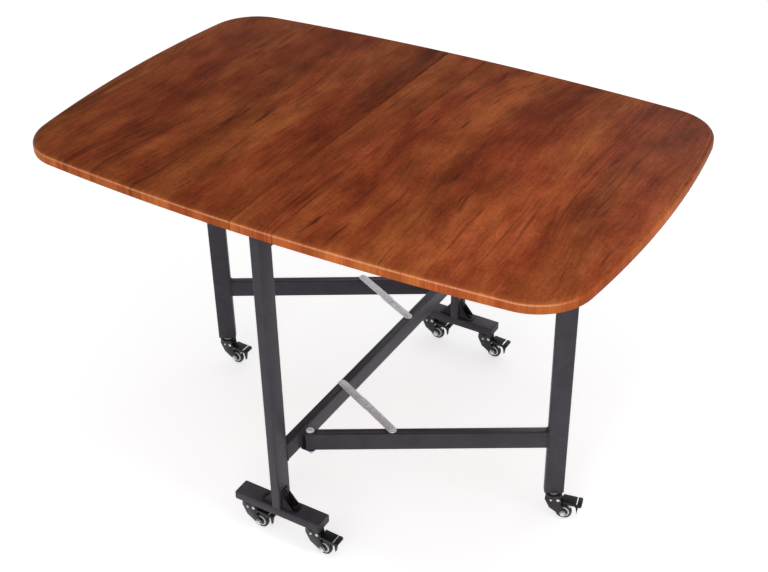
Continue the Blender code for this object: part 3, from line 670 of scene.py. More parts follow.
@dataclass(frozen=True)
class PowderCoat(Finish):
    """Baked paint with a fine pebbled skin."""

    roughness: float = 0.46
    gloss: float = 0.4
    clouds: Cloud = Cloud(26.0, 4.0, 0.6)
    marks: Cloud = Cloud(210.0, 3.0, 0.7)
    pebbles: Cloud = Cloud(1900.0)
    tones: Span = Span(0.32, 0.68, 0.86, 1.16)
    rubbed: Span = Span(0.66, 0.80, 0.0, 0.35)
    rubbed_tone: float = 1.7
    polish: Span = Span(0.3, 0.75, 0.07, -0.08)
    relief: Point2 = (0.22, 0.00012)

    def paint(self, graph: ShaderGraph) -> None:
        """Pebbled relief, cloudy tone and faint rubbing marks.

        Args:
            graph: Empty material to fill.
        """
        place = graph.place()
        marks = self.marks.on(graph, place)
        colour = self.toned(graph, self.clouds.on(graph, place), self.tones)
        graph.surface(
            Base_Color=graph.mixed(graph.ranged(marks, self.rubbed), colour, self.tone(self.rubbed_tone)),
            Roughness=graph.ranged(marks, self.polish.about(self.roughness)),
            Specular_IOR_Level=self.gloss,
        )
        graph.relief(self.pebbles.on(graph, place), *self.relief)


@dataclass(frozen=True)
class PlatedSteel(Finish):
    """Zinc-plated steel with a cloudy bloom and fine drawing marks."""

    roughness: float = 0.34
    metal: float = 1.0
    bloom: Cloud = Cloud(150.0, 4.0, 0.6)
    tones: Span = Span(0.30, 0.62, 0.72, 1.0)
    polish: Span = Span(0.3, 0.7, 0.10, -0.06)
    marks: Point3 = (900.0, 900.0, 4200.0)
    relief: Point2 = (0.18, 0.00006)

    def paint(self, graph: ShaderGraph) -> None:
        """Bloom in tone and roughness, with shallow marks.

        Args:
            graph: Empty material to fill.
        """
        place = graph.place()
        bloom = self.bloom.on(graph, place)
        graph.surface(
            Base_Color=self.toned(graph, bloom, self.tones),
            Metallic=self.metal,
            Roughness=graph.ranged(bloom, self.polish.about(self.roughness)),
        )
        graph.relief(graph.noise(graph.mapped(place, self.marks)), *self.relief)


@dataclass(frozen=True)
class Moulded(Finish):
    """Moulded plastic or rubber with a fine grain."""

    roughness: float = 0.55
    gloss: float = 0.35
    dust: Cloud = Cloud(140.0, 4.0, 0.65)
    grain: Cloud = Cloud(2600.0)
    tones: Span = Span(0.30, 0.70, 0.82, 1.15)
    dulling: Span = Span(0.3, 0.7, -0.06, 0.08)
    relief: Point2 = (0.2, 0.00008)

    def paint(self, graph: ShaderGraph) -> None:
        """Fine grain, dusty tone and slow changes of gloss.

        Args:
            graph: Empty material to fill.
        """
        place = graph.place()
        dust = self.dust.on(graph, place)
        graph.surface(
            Base_Color=self.toned(graph, dust, self.tones),
            Roughness=graph.ranged(dust, self.dulling.about(self.roughness)),
            Specular_IOR_Level=self.gloss,
        )
        graph.relief(self.grain.on(graph, place), *self.relief)


# Each board's two finishes, for its flat faces and its rim, start at the board's own place in the print

WOOD = (0.214, 0.0450, 0.0142)
DRAWN_WOOD = (0.222, 0.0520, 0.0145)
PRINT_STARTS = {"leaf_right": (3.42, 1.15, 0.0), "leaf_left": (0.37, 1.9, 0.0), "strip": (2.13, 0.7, 0.0)}
BOARD_WOODS = {
    board: (
        WoodLaminate(f"{board}_wood", "walnut_board", WOOD, shift=start),
        EdgeBand(f"{board}_band", "walnut_board", DRAWN_WOOD, shift=start),
    )
    for board, start in PRINT_STARTS.items()
}
CHARCOAL = PowderCoat("charcoal_coat", "charcoal_steel", (0.0462, 0.0405, 0.0515), gloss=0.22)
BLACK_COAT = PowderCoat("black_coat", "black_steel", (0.0105, 0.0086, 0.0112), roughness=0.38, gloss=0.18)
# Fork cheeks: black steel with a higher real gloss, and lighter than the black coat as a painted sheen
SHEEN_CHEEK_COAT = PowderCoat("cheek_coat", "black_steel", (0.0205, 0.0178, 0.0220), roughness=0.34, gloss=0.32)
ZINC = PlatedSteel("zinc_plate", "zinc_steel", (0.88, 0.87, 0.92), metal=0.22)
STEM_STEEL = PlatedSteel("stem_plate", "zinc_steel", (0.30, 0.29, 0.32), roughness=0.40, metal=0.8)
BRIGHT = PlatedSteel("bright_plate", "zinc_steel", (0.74, 0.74, 0.76), roughness=0.24)
CAP_PLASTIC = Moulded("cap_plastic", "black_plastic", (0.028, 0.027, 0.030))
TYRE = Moulded("tyre_rubber", "wheel_rubber", (0.015, 0.015, 0.017), roughness=0.42)
PALE_RING = Moulded("pale_ring", "wheel_rubber", (0.78, 0.78, 0.77), roughness=0.40)
HUB = Moulded("hub_plastic", "wheel_rubber", (0.030, 0.030, 0.032), roughness=0.45)


# Meshes


def to_mesh(shape: bmesh.types.BMesh) -> Mesh:
    """Turn a working shape into a mesh with smooth faces and sharp edges, and free it.

    Args:
        shape: Shape to turn.

    Returns:
        The mesh.
    """
    mesh = bpy.data.meshes.new("piece")
    shape.to_mesh(mesh)
    shape.free()
    return creased(mesh, SMOOTH_ANGLE)


def creased(mesh: Mesh, angle: float) -> Mesh:
    """Shade a mesh smooth, with sharp edges from an angle on.

    Args:
        mesh: Mesh to change.
        angle: Smallest angle of a sharp edge.

    Returns:
        The same mesh.
    """
    mesh.shade_smooth()
    mesh.set_sharp_from_angle(angle=angle)
    return mesh


def placed(mesh: Mesh, matrix: Matrix) -> Mesh:
    """Move a mesh by a matrix."""
    mesh.transform(matrix)
    return mesh


def merged(meshes: Iterable[Mesh]) -> Mesh:
    """Put several closed shapes into one mesh.

    Args:
        meshes: The shapes.

    Returns:
        One mesh.
    """
    shape = bmesh.new()
    for mesh in meshes:
        shape.from_mesh(mesh)
    return to_mesh(shape)


def arc(centre: Point2, radius: float, start: float, end: float, steps: int) -> list[Point2]:
    """Points of an arc, both ends included."""
    angles = [start + (end - start) * i / steps for i in range(steps + 1)]
    return [(centre[0] + radius * math.cos(a), centre[1] + radius * math.sin(a)) for a in angles]


def raised(profile: Iterable[Point2], level: float) -> list[Point2]:
    """A profile of (radius, height) points, moved up to a level."""
    return [(radius, level + height) for radius, height in profile]


def lathe(
    profile: Sequence[Point2], segments: int, ring: bool = False, finishes: Sequence[int] | None = None
) -> Mesh:
    """Turn a profile of (radius, height) points about Z.

    Args:
        profile: Points from one end of the axis to the other, or around a ring's section.
        segments: Number of sides.
        ring: Whether the profile closes on itself.
        finishes: Material index of each stretch of the profile.

    Returns:
        A closed mesh.
    """
    shape = bmesh.new()
    rings = []
    for radius, height in profile:
        count = segments if radius > WELD else 1
        turns = [2 * math.pi * i / segments for i in range(count)]
        rings.append([shape.verts.new((radius * math.cos(a), radius * math.sin(a), height)) for a in turns])
    pairs = list(zip(rings, rings[1:]))
    if ring:
        pairs.append((rings[-1], rings[0]))
    for index, (first, second) in enumerate(pairs):
        for i in range(segments):
            j = (i + 1) % segments
            corners = [row[k % len(row)] for row, k in ((first, i), (first, j), (second, j), (second, i))]
            face = shape.faces.new(list(dict.fromkeys(corners)))
            face.material_index = finishes[index] if finishes else 0
    bmesh.ops.recalc_face_normals(shape, faces=shape.faces)
    return to_mesh(shape)


def rod(radius: float, half: float, segments: int) -> Mesh:
    """A plain round rod about Z, from -half to half."""
    return lathe([(0.0, -half), (radius, -half), (radius, half), (0.0, half)], segments)


@dataclass
class Prism:
    """An outline raised between two levels, with rounded upper and lower edges.

    The two flat faces have the first material, and the rim has the one of its index.
    """

    outline: Sequence[Point2]
    inward: Sequence[Point2]
    low: float
    high: float
    top_round: float
    low_round: float
    steps: int = 6
    rim: int = 0

    @staticmethod
    def inward_of(outline: Sequence[Point2]) -> list[Point2]:
        """Find the directions into a counter-clockwise outline.

        Args:
            outline: Points of the outline.

        Returns:
            A direction of length 1 for every point.
        """
        found = []
        for i, _ in enumerate(outline):
            before = Vector(outline[i - 1])
            after = Vector(outline[(i + 1) % len(outline)])
            way = (after - before).normalized()
            found.append((-way.y, way.x))
        return found

    def levels(self) -> list[Point2]:
        """Work out the rings from the lower face to the upper one.

        Returns:
            Inset and height of each ring.
        """
        quarter = [math.pi / 2 * i / self.steps for i in range(self.steps + 1)]
        under, over = self.low_round, self.top_round
        lower = [(under * (1 - math.sin(a)), self.low + under * (1 - math.cos(a))) for a in quarter]
        upper = [(over * (1 - math.cos(a)), self.high - over * (1 - math.sin(a))) for a in quarter]
        return lower + upper

    def mesh(self) -> Mesh:
        """Build the prism.

        Returns:
            A closed mesh.
        """
        shape = bmesh.new()
        count = len(self.outline)
        walls = list(zip(self.outline, self.inward))
        rings = []
        for inset, height in self.levels():
            points = [(x + dx * inset, y + dy * inset, height) for (x, y), (dx, dy) in walls]
            rings.append([shape.verts.new(point) for point in points])
        for lower, upper in zip(rings, rings[1:]):
            for i in range(count):
                j = (i + 1) % count
                face = shape.faces.new((lower[i], lower[j], upper[j], upper[i]))
                face.material_index = self.rim
        shape.faces.new(list(reversed(rings[0])))
        shape.faces.new(rings[-1])
        return to_mesh(shape)


def tube_loop() -> list[Point2]:
    """Trace the section of a tube.

    Returns:
        Points of the outline, with the first one again at the end.
    """
    points: list[Point2] = []
    for quarter, (sx, sy) in enumerate(((1, 1), (-1, 1), (-1, -1), (1, -1))):
        centre = (sx * (TUBE_THIN / 2 - TUBE_ROUND), sy * (TUBE_WIDE / 2 - TUBE_ROUND))
        start = quarter * math.pi / 2
        points += arc(centre, TUBE_ROUND, start, start + math.pi / 2, TUBE_STEPS)
    return points + points[:1]


def points_facing(places: Sequence[Vector], facings: Sequence[Vector]) -> Mesh:
    """Make seed points for copies of a shape.

    Args:
        places: The points.
        facings: Direction in which each copy stands.

    Returns:
        A mesh of points that carry their facing.
    """
    mesh = bpy.data.meshes.new("points")
    mesh.from_pydata([tuple(p) for p in places], [], [])
    attribute = mesh.attributes.new("facing", "FLOAT_VECTOR", "POINT")
    attribute.data.foreach_set("vector", [c for f in facings for c in f])
    return mesh


def path_seed(points: Sequence[Vector]) -> Mesh:
    """Make seed edges along a path.

    Args:
        points: Points of the path, which closes on itself where its ends meet.

    Returns:
        A mesh of edges.
    """
    closed = (Vector(points[0]) - Vector(points[-1])).length < WELD
    kept = points[:-1] if closed else points
    edges = [(i, i + 1) for i in range(len(kept) - 1)]
    if closed:
        edges.append((len(kept) - 1, 0))
    mesh = bpy.data.meshes.new("path")
    mesh.from_pydata([tuple(p) for p in kept], edges, [])
    return mesh


# Repeated fasteners and beads, grown with geometry nodes


class HeadTree(GeometryGraph):
    """Round heads with a flange and a recess, one at every seed point."""

    wall_share: ClassVar[float] = 0.55
    crown_share: ClassVar[float] = 0.82

    def __init__(self) -> None:
        """Build the group: a flange, a crowned head on it, and a recess in the head."""
        super().__init__("fastener_heads")
        flange, thick, radius, height, recess, depth = self.sizes(
            "Flange Radius", "Flange Height", "Head Radius", "Head Height", "Recess Radius", "Recess Depth"
        )
        sides = self.size("Sides", "NodeSocketInt")
        inputs = {"Vertices": sides, "Radius": flange, "Depth": thick}
        base = self.node("GeometryNodeMeshCylinder", inputs).outputs
        mesh = self.stood(base["Mesh"], thick)
        top = base["Top"]
        wide = flange
        for reach, rise in (
            (radius, 0.0),
            (radius, self.product(height, self.wall_share)),
            (self.product(radius, self.crown_share), self.product(height, 1.0 - self.wall_share)),
            (recess, 0.0),
            (recess, self.product(depth, -1.0)),
        ):
            mesh, top = self.stepped(mesh, top, rise, self.worked("DIVIDE", reach, wide))
            wide = reach
        self.close(self.at_points(mesh))


class NutTree(GeometryGraph):
    """Hexagon nuts on a washer with the end of the axle in them, one at every seed point."""

    ease_rise: ClassVar[float] = 0.18
    ease_share: ClassVar[float] = 0.88
    washer_sides: ClassVar[int] = 24
    axle_sides: ClassVar[int] = 16

    def __init__(self) -> None:
        """Build the group: three short bars with eased ends on one axis."""
        super().__init__("axle_nuts")
        nut, height, washer, plate, axle, tail = self.sizes(
            "Nut Radius", "Nut Height", "Washer Radius", "Washer Height", "Axle Radius", "Axle Height"
        )
        join = self.node("GeometryNodeJoinGeometry")
        for sides, radius, depth in (
            (self.washer_sides, washer, plate),
            (HEXAGON, nut, height),
            (self.axle_sides, axle, tail),
        ):
            inputs = {"Vertices": sides, "Radius": radius, "Depth": depth}
            bar = self.node("GeometryNodeMeshCylinder", inputs).outputs
            rise = self.product(depth, self.ease_rise)
            eased, _ = self.stepped(bar["Mesh"], bar["Top"], rise, self.ease_share)
            self.feed(join.inputs[0], self.stood(eased, depth))
        self.close(self.at_points(join.outputs[0]))


class BeadTree(GeometryGraph):
    """Rippled weld bead along seed edges."""

    swelling: ClassVar[float] = 0.13
    steps_per_ripple: ClassVar[int] = 4
    sides: ClassVar[int] = 10

    def __init__(self) -> None:
        """Build the group: a round section swept along the edges, swelling with each ripple."""
        super().__init__("weld_beads")
        radius, pitch = self.sizes("Bead Radius", "Ripple Pitch")
        curve = self.node("GeometryNodeMeshToCurve", {"Mesh": self.seeds()}).outputs[0]
        inputs = {"Curve": curve, "Length": self.product(pitch, 1.0 / self.steps_per_ripple)}
        fine = self.node("GeometryNodeResampleCurve", inputs, mode="LENGTH").outputs[0]
        length = self.node("GeometryNodeSplineParameter").outputs["Length"]
        turn = self.product(self.worked("DIVIDE", length, pitch), 2 * math.pi)
        swell = self.worked("ADD", self.product(self.worked("SINE", turn), self.swelling), 1.0)
        inputs = {"Resolution": self.sides, "Radius": radius}
        section = self.node("GeometryNodeCurvePrimitiveCircle", inputs).outputs[0]
        inputs = {"Curve": fine, "Profile Curve": section, "Scale": swell, "Fill Caps": True}
        self.close(self.node("GeometryNodeCurveToMesh", inputs).outputs[0])


@dataclass(frozen=True)
class Fastener:
    """Finish and sizes of a fastener; the sizes are the inputs of its node group."""

    finish: Finish
    crease: ClassVar[float] = SMOOTH_ANGLE

    def values(self) -> dict[str, Any]:
        """Inputs of the node group, by their names there."""
        sizes = {f.name.replace("_", " ").title(): getattr(self, f.name) for f in fields(self)[1:]}
        return {**sizes, "Material": self.finish.material()}


@dataclass(frozen=True)
class Head(Fastener):
    """A round head on a flange, with a recess."""

    flange_radius: float
    flange_height: float
    head_radius: float
    head_height: float
    recess_radius: float
    recess_depth: float
    sides: int = 24


@dataclass(frozen=True)
class Nut(Fastener):
    """A hexagon nut on a washer, with the end of its axle."""

    nut_radius: float
    nut_height: float
    washer_radius: float
    washer_height: float
    axle_radius: float
    axle_height: float
    crease: ClassVar[float] = math.radians(25.0)


# Radius and height of flange, head and recess, then sides; for the nut, those of nut, washer and axle

BRACKET_BOLT = Head(BLACK_COAT, 0.0072, 0.0010, 0.0050, 0.0028, 0.0024, 0.0018)
HINGE_SCREW = Head(ZINC, 0.0037, 0.0003, 0.0034, 0.0009, 0.0013, 0.0007, 16)
PIN_END = Head(ZINC, 0.0028, 0.0002, 0.0025, 0.0011, 0.0006, 0.0001, 16)
PEDAL_RIVET = Head(BRIGHT, 0.0034, 0.0004, 0.0030, 0.0013, 0.0010, 0.0003, 20)
CHEEK_RIVET = Head(ZINC, 0.0026, 0.0003, 0.0022, 0.0009, 0.0008, 0.0002, 20)
AXLE_NUT = Nut(BRIGHT, 0.0058, 0.0034, 0.0062, 0.0007, 0.0030, 0.0042)


# Pieces on the frame


class Workshop:
    """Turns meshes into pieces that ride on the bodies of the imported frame."""

    flat: ClassVar[float] = math.radians(0.5)
    ease_steps: ClassVar[int] = 2
    ease_profile: ClassVar[float] = 0.5
    ripple: ClassVar[float] = 1.9

    def __init__(self, frame: dict[str, Any]) -> None:
        """Keep the loaded frame and build the node groups.
        """
        self.nodes = frame["nodes"]
        self.joints = {joint["name"]: joint for joint in frame["joints"]}
        self.fasteners: dict[type[Fastener], GeometryGraph] = {Head: HeadTree(), Nut: NutTree()}
        self.beads = BeadTree()

    def pivot(self, joint: str) -> Vector:
        """A point on a joint's axis."""
        return Vector(self.joints[joint]["pos_m"])

    def body_of(self, node: str) -> str:
        """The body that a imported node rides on."""
        return self.nodes[node]["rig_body"]

    def add(
        self, name: str, mesh: Mesh, body: str, finishes: Sequence[Finish], replaces: Sequence[str] = ()
    ) -> None:
        """Put a finished mesh on a body.

        Args:
            name: Name of the piece.
            mesh: Mesh with its place in it.
            body: Body that the piece rides on.
            finishes: Finishes in the order of the mesh's material indices.
            replaces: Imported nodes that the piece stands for.
        """
        mesh.name = name
        if not mesh.materials:
            for finish in finishes:
                mesh.materials.append(finish.material())
        piece = bpy.data.objects.new(name, mesh)
        bpy.context.scene.collection.objects.link(piece)
        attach(piece, body)
        if replaces:
            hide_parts(*replaces)
        LOG.info("%s rides on %s, %d faces", name, body, len(mesh.polygons))

    def stand_in(self, node: str, mesh: Mesh, *finishes: Finish) -> None:
        """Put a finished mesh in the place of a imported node."""
        self.add(f"{node}_skin", mesh, self.body_of(node), finishes, [node])

    def dress(self, node: str, finish: Finish, ease: float) -> None:
        """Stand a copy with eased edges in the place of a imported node.

        Args:
            node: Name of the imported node.
            finish: The copy's finish.
            ease: Width of the easing.
        """
        shape = bmesh.new()
        shape.from_mesh(self.nodes[node].data)
        bmesh.ops.remove_doubles(shape, verts=shape.verts, dist=WELD)
        bmesh.ops.dissolve_limit(shape, angle_limit=self.flat, verts=shape.verts, edges=shape.edges)
        sharp = [e for e in shape.edges if len(e.link_faces) == 2 and e.calc_face_angle() > SMOOTH_ANGLE]
        bmesh.ops.bevel(
            shape,
            geom=sharp,
            offset=ease,
            segments=self.ease_steps,
            profile=self.ease_profile,
            affect="EDGES",
            clamp_overlap=True,
        )
        self.stand_in(node, to_mesh(shape), finish)

    def bead(self, name: str, points: Sequence[Vector], body: str, finish: Finish, radius: float) -> None:
        """Lay a weld bead along a path.

        Args:
            name: Name of the piece.
            points: Points of the path.
            body: Body that the bead rides on.
            finish: The bead's finish.
            radius: The bead's radius.
        """
        values = {"Bead Radius": radius, "Ripple Pitch": self.ripple * radius, "Material": finish.material()}
        mesh = self.beads.grow(path_seed(points), values)
        mesh.shade_smooth()
        self.add(name, mesh, body, [finish])

    def fasten(
        self, name: str, places: Sequence[Vector], facings: Sequence[Vector], body: str, fastener: Fastener
    ) -> None:
        """Set the same fastener at several places of one body.

        Args:
            name: Name of the piece.
            places: Where the fasteners stand.
            facings: Directions in which they stand.
            body: Body that they ride on.
            fastener: Finish and sizes.
        """
        mesh = self.fasteners[type(fastener)].grow(points_facing(places, facings), fastener.values())
        self.add(name, creased(mesh, fastener.crease), body, [fastener.finish])


@dataclass
class Assembly:
    """A part of the table that makes its own pieces in a workshop."""

    shop: Workshop

    def build(self) -> None:
        """Make the pieces."""
        raise NotImplementedError


# Top


@dataclass
class TableTop(Assembly):
    """The narrow centre board and the two leaves."""

    length: float = 1.200
    width: float = 0.800
    side_bow: float = 5.300
    end_bow: float = 2.150
    corner: float = 0.110
    strip: float = 0.088
    seam_gap: float = 0.0010
    top_round: float = 0.009
    under_round: float = 0.002
    seam_ease: float = 0.03
    bow_steps: int = 24
    corner_steps: int = 32
    strip_steps: int = 12

    def corner_arc(self) -> tuple[Point2, float, float]:
        """Fit the far right corner between the bows of the side and the end.

        Returns:
            Its centre, and its directions to the side's and the end's bow.
        """
        side_centre = Vector((0.0, self.width / 2 - self.side_bow))
        end_centre = Vector((self.length / 2 - self.end_bow, 0.0))
        side_reach = self.side_bow - self.corner
        end_reach = self.end_bow - self.corner
        span = end_centre - side_centre
        along = (side_reach**2 - end_reach**2 + span.length**2) / (2 * span.length)
        across = math.sqrt(side_reach**2 - along**2)
        forward = span.normalized()
        centre = side_centre + forward * along + Vector((forward.y, -forward.x)) * across
        to_side = centre - side_centre
        to_end = centre - end_centre
        return tuple(centre), math.atan2(to_side.y, to_side.x), math.atan2(to_end.y, to_end.x)

    def leaf_outline(self, seam: float) -> list[Point2]:
        """Draw the right leaf from above.

        Args:
            seam: X of its seam edge.

        Returns:
            Its outline, counter-clockwise from its near seam corner.
        """
        centre, side_angle, end_angle = self.corner_arc()
        end = arc((self.length / 2 - self.end_bow, 0.0), self.end_bow, 0.0, end_angle, self.bow_steps)
        corner = arc(centre, self.corner, end_angle, side_angle, self.corner_steps)
        middle = (0.0, self.width / 2 - self.side_bow)
        seam_angle = math.acos(seam / self.side_bow)
        side = arc(middle, self.side_bow, side_angle, seam_angle, self.bow_steps)
        far_half = end + corner[1:] + side[1:]
        return [(x, -y) for x, y in reversed(far_half[1:])] + far_half

    def strip_outline(self, edge: float) -> list[Point2]:
        """Draw the centre board from above.

        Args:
            edge: X of its right edge.

        Returns:
            Its outline, counter-clockwise from its near left corner.
        """
        xs = [edge * (2 * i / self.strip_steps - 1) for i in range(self.strip_steps + 1)]
        rise = self.width / 2 - self.side_bow
        near = [(x, -rise - math.sqrt(self.side_bow**2 - x**2)) for x in xs]
        return near + [(x, -y) for x, y in reversed(near)]

    def board(self, outline: Sequence[Point2], seams: Sequence[float]) -> Mesh:
        """A board with round outer edges and lightly eased seams.

        Args:
            outline: Board from above, counter-clockwise.
            seams: X of its seam edges.

        Returns:
            The board's mesh, with the rim as the second material.
        """
        inward = Prism.inward_of(outline)
        middle = sum(x for x, _ in outline) / len(outline)
        for i, (x, y) in enumerate(outline):
            if any(abs(x - seam) < WELD for seam in seams):
                inward[i] = (math.copysign(self.seam_ease, middle - x), -math.copysign(1.0, y))
        return Prism(outline, inward, UNDERSIDE, TOP_LEVEL, self.top_round, self.under_round, rim=1).mesh()

    def build(self) -> None:
        """Make the three boards."""
        seam = self.strip / 2 + self.seam_gap / 2
        edge = self.strip / 2 - self.seam_gap / 2
        strip = self.board(self.strip_outline(edge), [edge, -edge])
        self.shop.stand_in("centre_board", strip, *BOARD_WOODS["strip"])
        right = self.board(self.leaf_outline(seam), [seam])
        left = placed(right.copy(), Matrix.Rotation(math.pi, 4, "Z"))
        for leaf, mesh in (("leaf_right", right), ("leaf_left", left)):
            self.shop.stand_in(f"{leaf}_board", mesh, *BOARD_WOODS[leaf])


@dataclass
class LeafHinges(Assembly):
    """The four hinges under the seams, with their screws and pin ends."""

    screw_rows: tuple[float, ...] = (-0.040, 0.0, 0.040)
    screw_share: float = 0.58
    plate: float = 0.0015
    step: float = 0.0002
    knuckle: float = 0.0032
    slack: float = 0.0001
    ease: float = 0.0003

    def build(self) -> None:
        """Dress the flaps, and set their screws and pin ends."""
        for side in Side:
            pin = self.shop.pivot(f"leaf_{side.word}_lift")
            for end in End:
                frame_flap = f"hinge_{side.word}_{end.word}_frame_flap"
                leaf_flap = f"hinge_{side.word}_{end.word}_leaf_flap"
                for node in (frame_flap, leaf_flap):
                    self.shop.dress(node, BLACK_COAT, self.ease)
                    self.screws(node, pin)
                self.pin_ends(frame_flap, pin)

    def screws(self, node: str, pin: Vector) -> None:
        """Screw one flap into its board.

        Args:
            node: Name of the flap.
            pin: Point on the hinge's axis.
        """
        low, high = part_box(node)
        outer = low.x if abs(low.x - pin.x) > abs(high.x - pin.x) else high.x
        x = pin.x + (outer - pin.x) * self.screw_share
        z = high.z - self.plate
        if high.z - pin.z > self.knuckle - self.slack:
            z = pin.z + self.knuckle - self.plate - self.step
        places = [Vector((x, (low.y + high.y) / 2 + row, z)) for row in self.screw_rows]
        self.shop.fasten(f"{node}_screws", places, [-UP] * len(places), self.shop.body_of(node), HINGE_SCREW)

    def pin_ends(self, node: str, pin: Vector) -> None:
        """Set the bright ends of one hinge's pin.

        Args:
            node: Name of the flap that holds the pin.
            pin: Point on the hinge's axis.
        """
        low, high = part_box(node)
        places = [Vector((pin.x, low.y, pin.z)), Vector((pin.x, high.y, pin.z))]
        self.shop.fasten(f"{node}_pin_ends", places, [-ACROSS, ACROSS], "frame", PIN_END)


# Frame


@dataclass
class CentreFrame(Assembly):
    """Legs, stretcher, top rail, feet, caps and corner brackets."""

    bracket_plate: float = 0.0025
    bolt_height: float = 0.0330
    bolt_reach: float = 0.0215
    bead: float = 0.0015
    small_ease: float = 0.0006
    tubes: tuple[str, ...] = ("top_rail", "stretcher", "leg_near", "leg_far", "foot_near", "foot_far")

    def build(self) -> None:
        """Dress the tubes and brackets, and add bolts and welds."""
        for node in self.tubes:
            self.shop.dress(node, CHARCOAL, TUBE_EASE)
        for end in End:
            self.stretcher_weld(end)
            for side in Side:
                self.shop.dress(f"foot_{end.word}_cap_{side.word}", CAP_PLASTIC, self.small_ease)
                node = f"corner_bracket_{end.word}_{side.word}"
                self.shop.dress(node, BLACK_COAT, self.small_ease)
                self.bracket_bolts(node, side)

    def bracket_bolts(self, node: str, side: Side) -> None:
        """Bolt a corner bracket to the leg and to the foot.

        Args:
            node: Name of the bracket.
            side: Side of the leg on which it stands.
        """
        low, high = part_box(node)
        y = (low.y + high.y) / 2
        face = low.x if side is Side.RIGHT else high.x
        out = Vector((float(side.value), 0.0, 0.0))
        upright = Vector((face, y, low.z + self.bolt_height)) + out * self.bracket_plate
        base = Vector((face, y, low.z + self.bracket_plate)) + out * self.bolt_reach
        self.shop.fasten(f"{node}_bolts", [upright, base], [out, UP], "frame", BRACKET_BOLT)

    def stretcher_weld(self, end: End) -> None:
        """Lay the bead where the stretcher meets a leg.

        Args:
            end: End of the table at which the leg stands.
        """
        low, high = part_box(f"leg_{end.word}")
        face = high.y if end is End.NEAR else low.y
        height = self.shop.pivot("gate_right_swing").z
        points = [Vector((x, face - end.value * BEAD_GAP, height + z)) for x, z in tube_loop()]
        self.shop.bead(f"stretcher_{end.word}_weld", points, "frame", CHARCOAL, self.bead)


# Gates and braces


@dataclass
class Gate(Assembly):
    """A swing-out gate: bar, leg, pivot bolt, and the weld between bar and leg.

    The bolt's profiles are in radius and height, each from its own level.
    """

    side: Side
    reach: float = 0.489
    bead: float = 0.0016
    lug_level: float = 0.0231
    bolt: float = 0.0040
    washer_plate: float = 0.0010
    nut_gap: float = 0.0001
    tail_sink: float = 0.0054
    threads: int = 5
    pitch: float = 0.0006
    thread_start: float = 0.0004
    thread_root: float = 0.0036
    tip: Point2 = (0.0030, -0.0036)
    sides: int = 32
    tail_sides: int = 24
    head: tuple[Point2, ...] = (
        (0.0, 0.0022),
        (0.0024, 0.0024),
        (0.0026, 0.0043),
        (0.0040, 0.0043),
        (0.0060, 0.0037),
        (0.0070, 0.0024),
        (0.0072, 0.0010),
        (0.0072, 0.0009),
        (0.0040, 0.0009),
    )
    washer: tuple[Point2, ...] = (
        (0.0040, 0.0),
        (0.0082, 0.0),
        (0.0084, 0.0002),
        (0.0084, 0.0008),
        (0.0082, 0.0010),
        (0.0040, 0.0010),
    )
    nut: tuple[Point2, ...] = (
        (0.0, 0.0),
        (0.0064, 0.0),
        (0.0070, -0.0006),
        (0.0070, -0.0050),
        (0.0064, -0.0056),
        (0.0, -0.0056),
    )

    def matrix(self) -> Matrix:
        """Find the gate's own frame, with its bar along +X.

        Returns:
            The matrix from that frame to the table.
        """
        pivot = self.shop.pivot(f"gate_{self.side.word}_swing")
        leg = self.shop.pivot(f"caster_gate_{self.side.word}_swivel")
        angle = math.atan2(leg.y - pivot.y, leg.x - pivot.x)
        return Matrix.Translation(pivot) @ Matrix.Rotation(angle, 4, "Z")

    def build(self) -> None:
        """Dress the gate's tubes and make its bolt and weld."""
        body = f"gate_{self.side.word}"
        for piece in ("bar", "leg"):
            self.shop.dress(f"{body}_{piece}", CHARCOAL, TUBE_EASE)
        matrix = self.matrix()
        x = self.reach - TUBE_WIDE / 2 - BEAD_GAP
        points = [matrix @ Vector((x, y, z)) for y, z in tube_loop()]
        self.shop.bead(f"{body}_weld", points, body, CHARCOAL, self.bead)
        bolt = placed(self.pivot_bolt(), Matrix.Translation(matrix.translation))
        self.shop.stand_in(f"{body}_pivot_bolt", bolt, ZINC)

    def pivot_bolt(self) -> Mesh:
        """Make a button-head bolt with washers and a hexagon nut, about the bar's middle height.

        Returns:
            The bolt's mesh.
        """
        top = self.lug_level + FIT
        shank = [(self.bolt, top), (self.bolt, -top), (0.0, -top)]
        nut_top = -top - self.washer_plate - self.nut_gap
        tail = [(0.0, 0.0)]
        for turn in range(self.threads):
            level = -self.thread_start - turn * self.pitch
            tail += [(self.thread_root, level), (self.bolt, level - self.pitch / 2)]
        tail += [self.tip, (0.0, self.tip[1])]
        return merged(
            [
                lathe(raised(self.head, top) + shank, self.sides),
                lathe(raised(self.washer, top), self.sides, ring=True),
                lathe(raised(self.washer, -top - self.washer_plate), self.sides, ring=True),
                lathe(raised(self.nut, nut_top), HEXAGON),
                lathe(raised(tail, nut_top - self.tail_sink), self.tail_sides),
            ]
        )


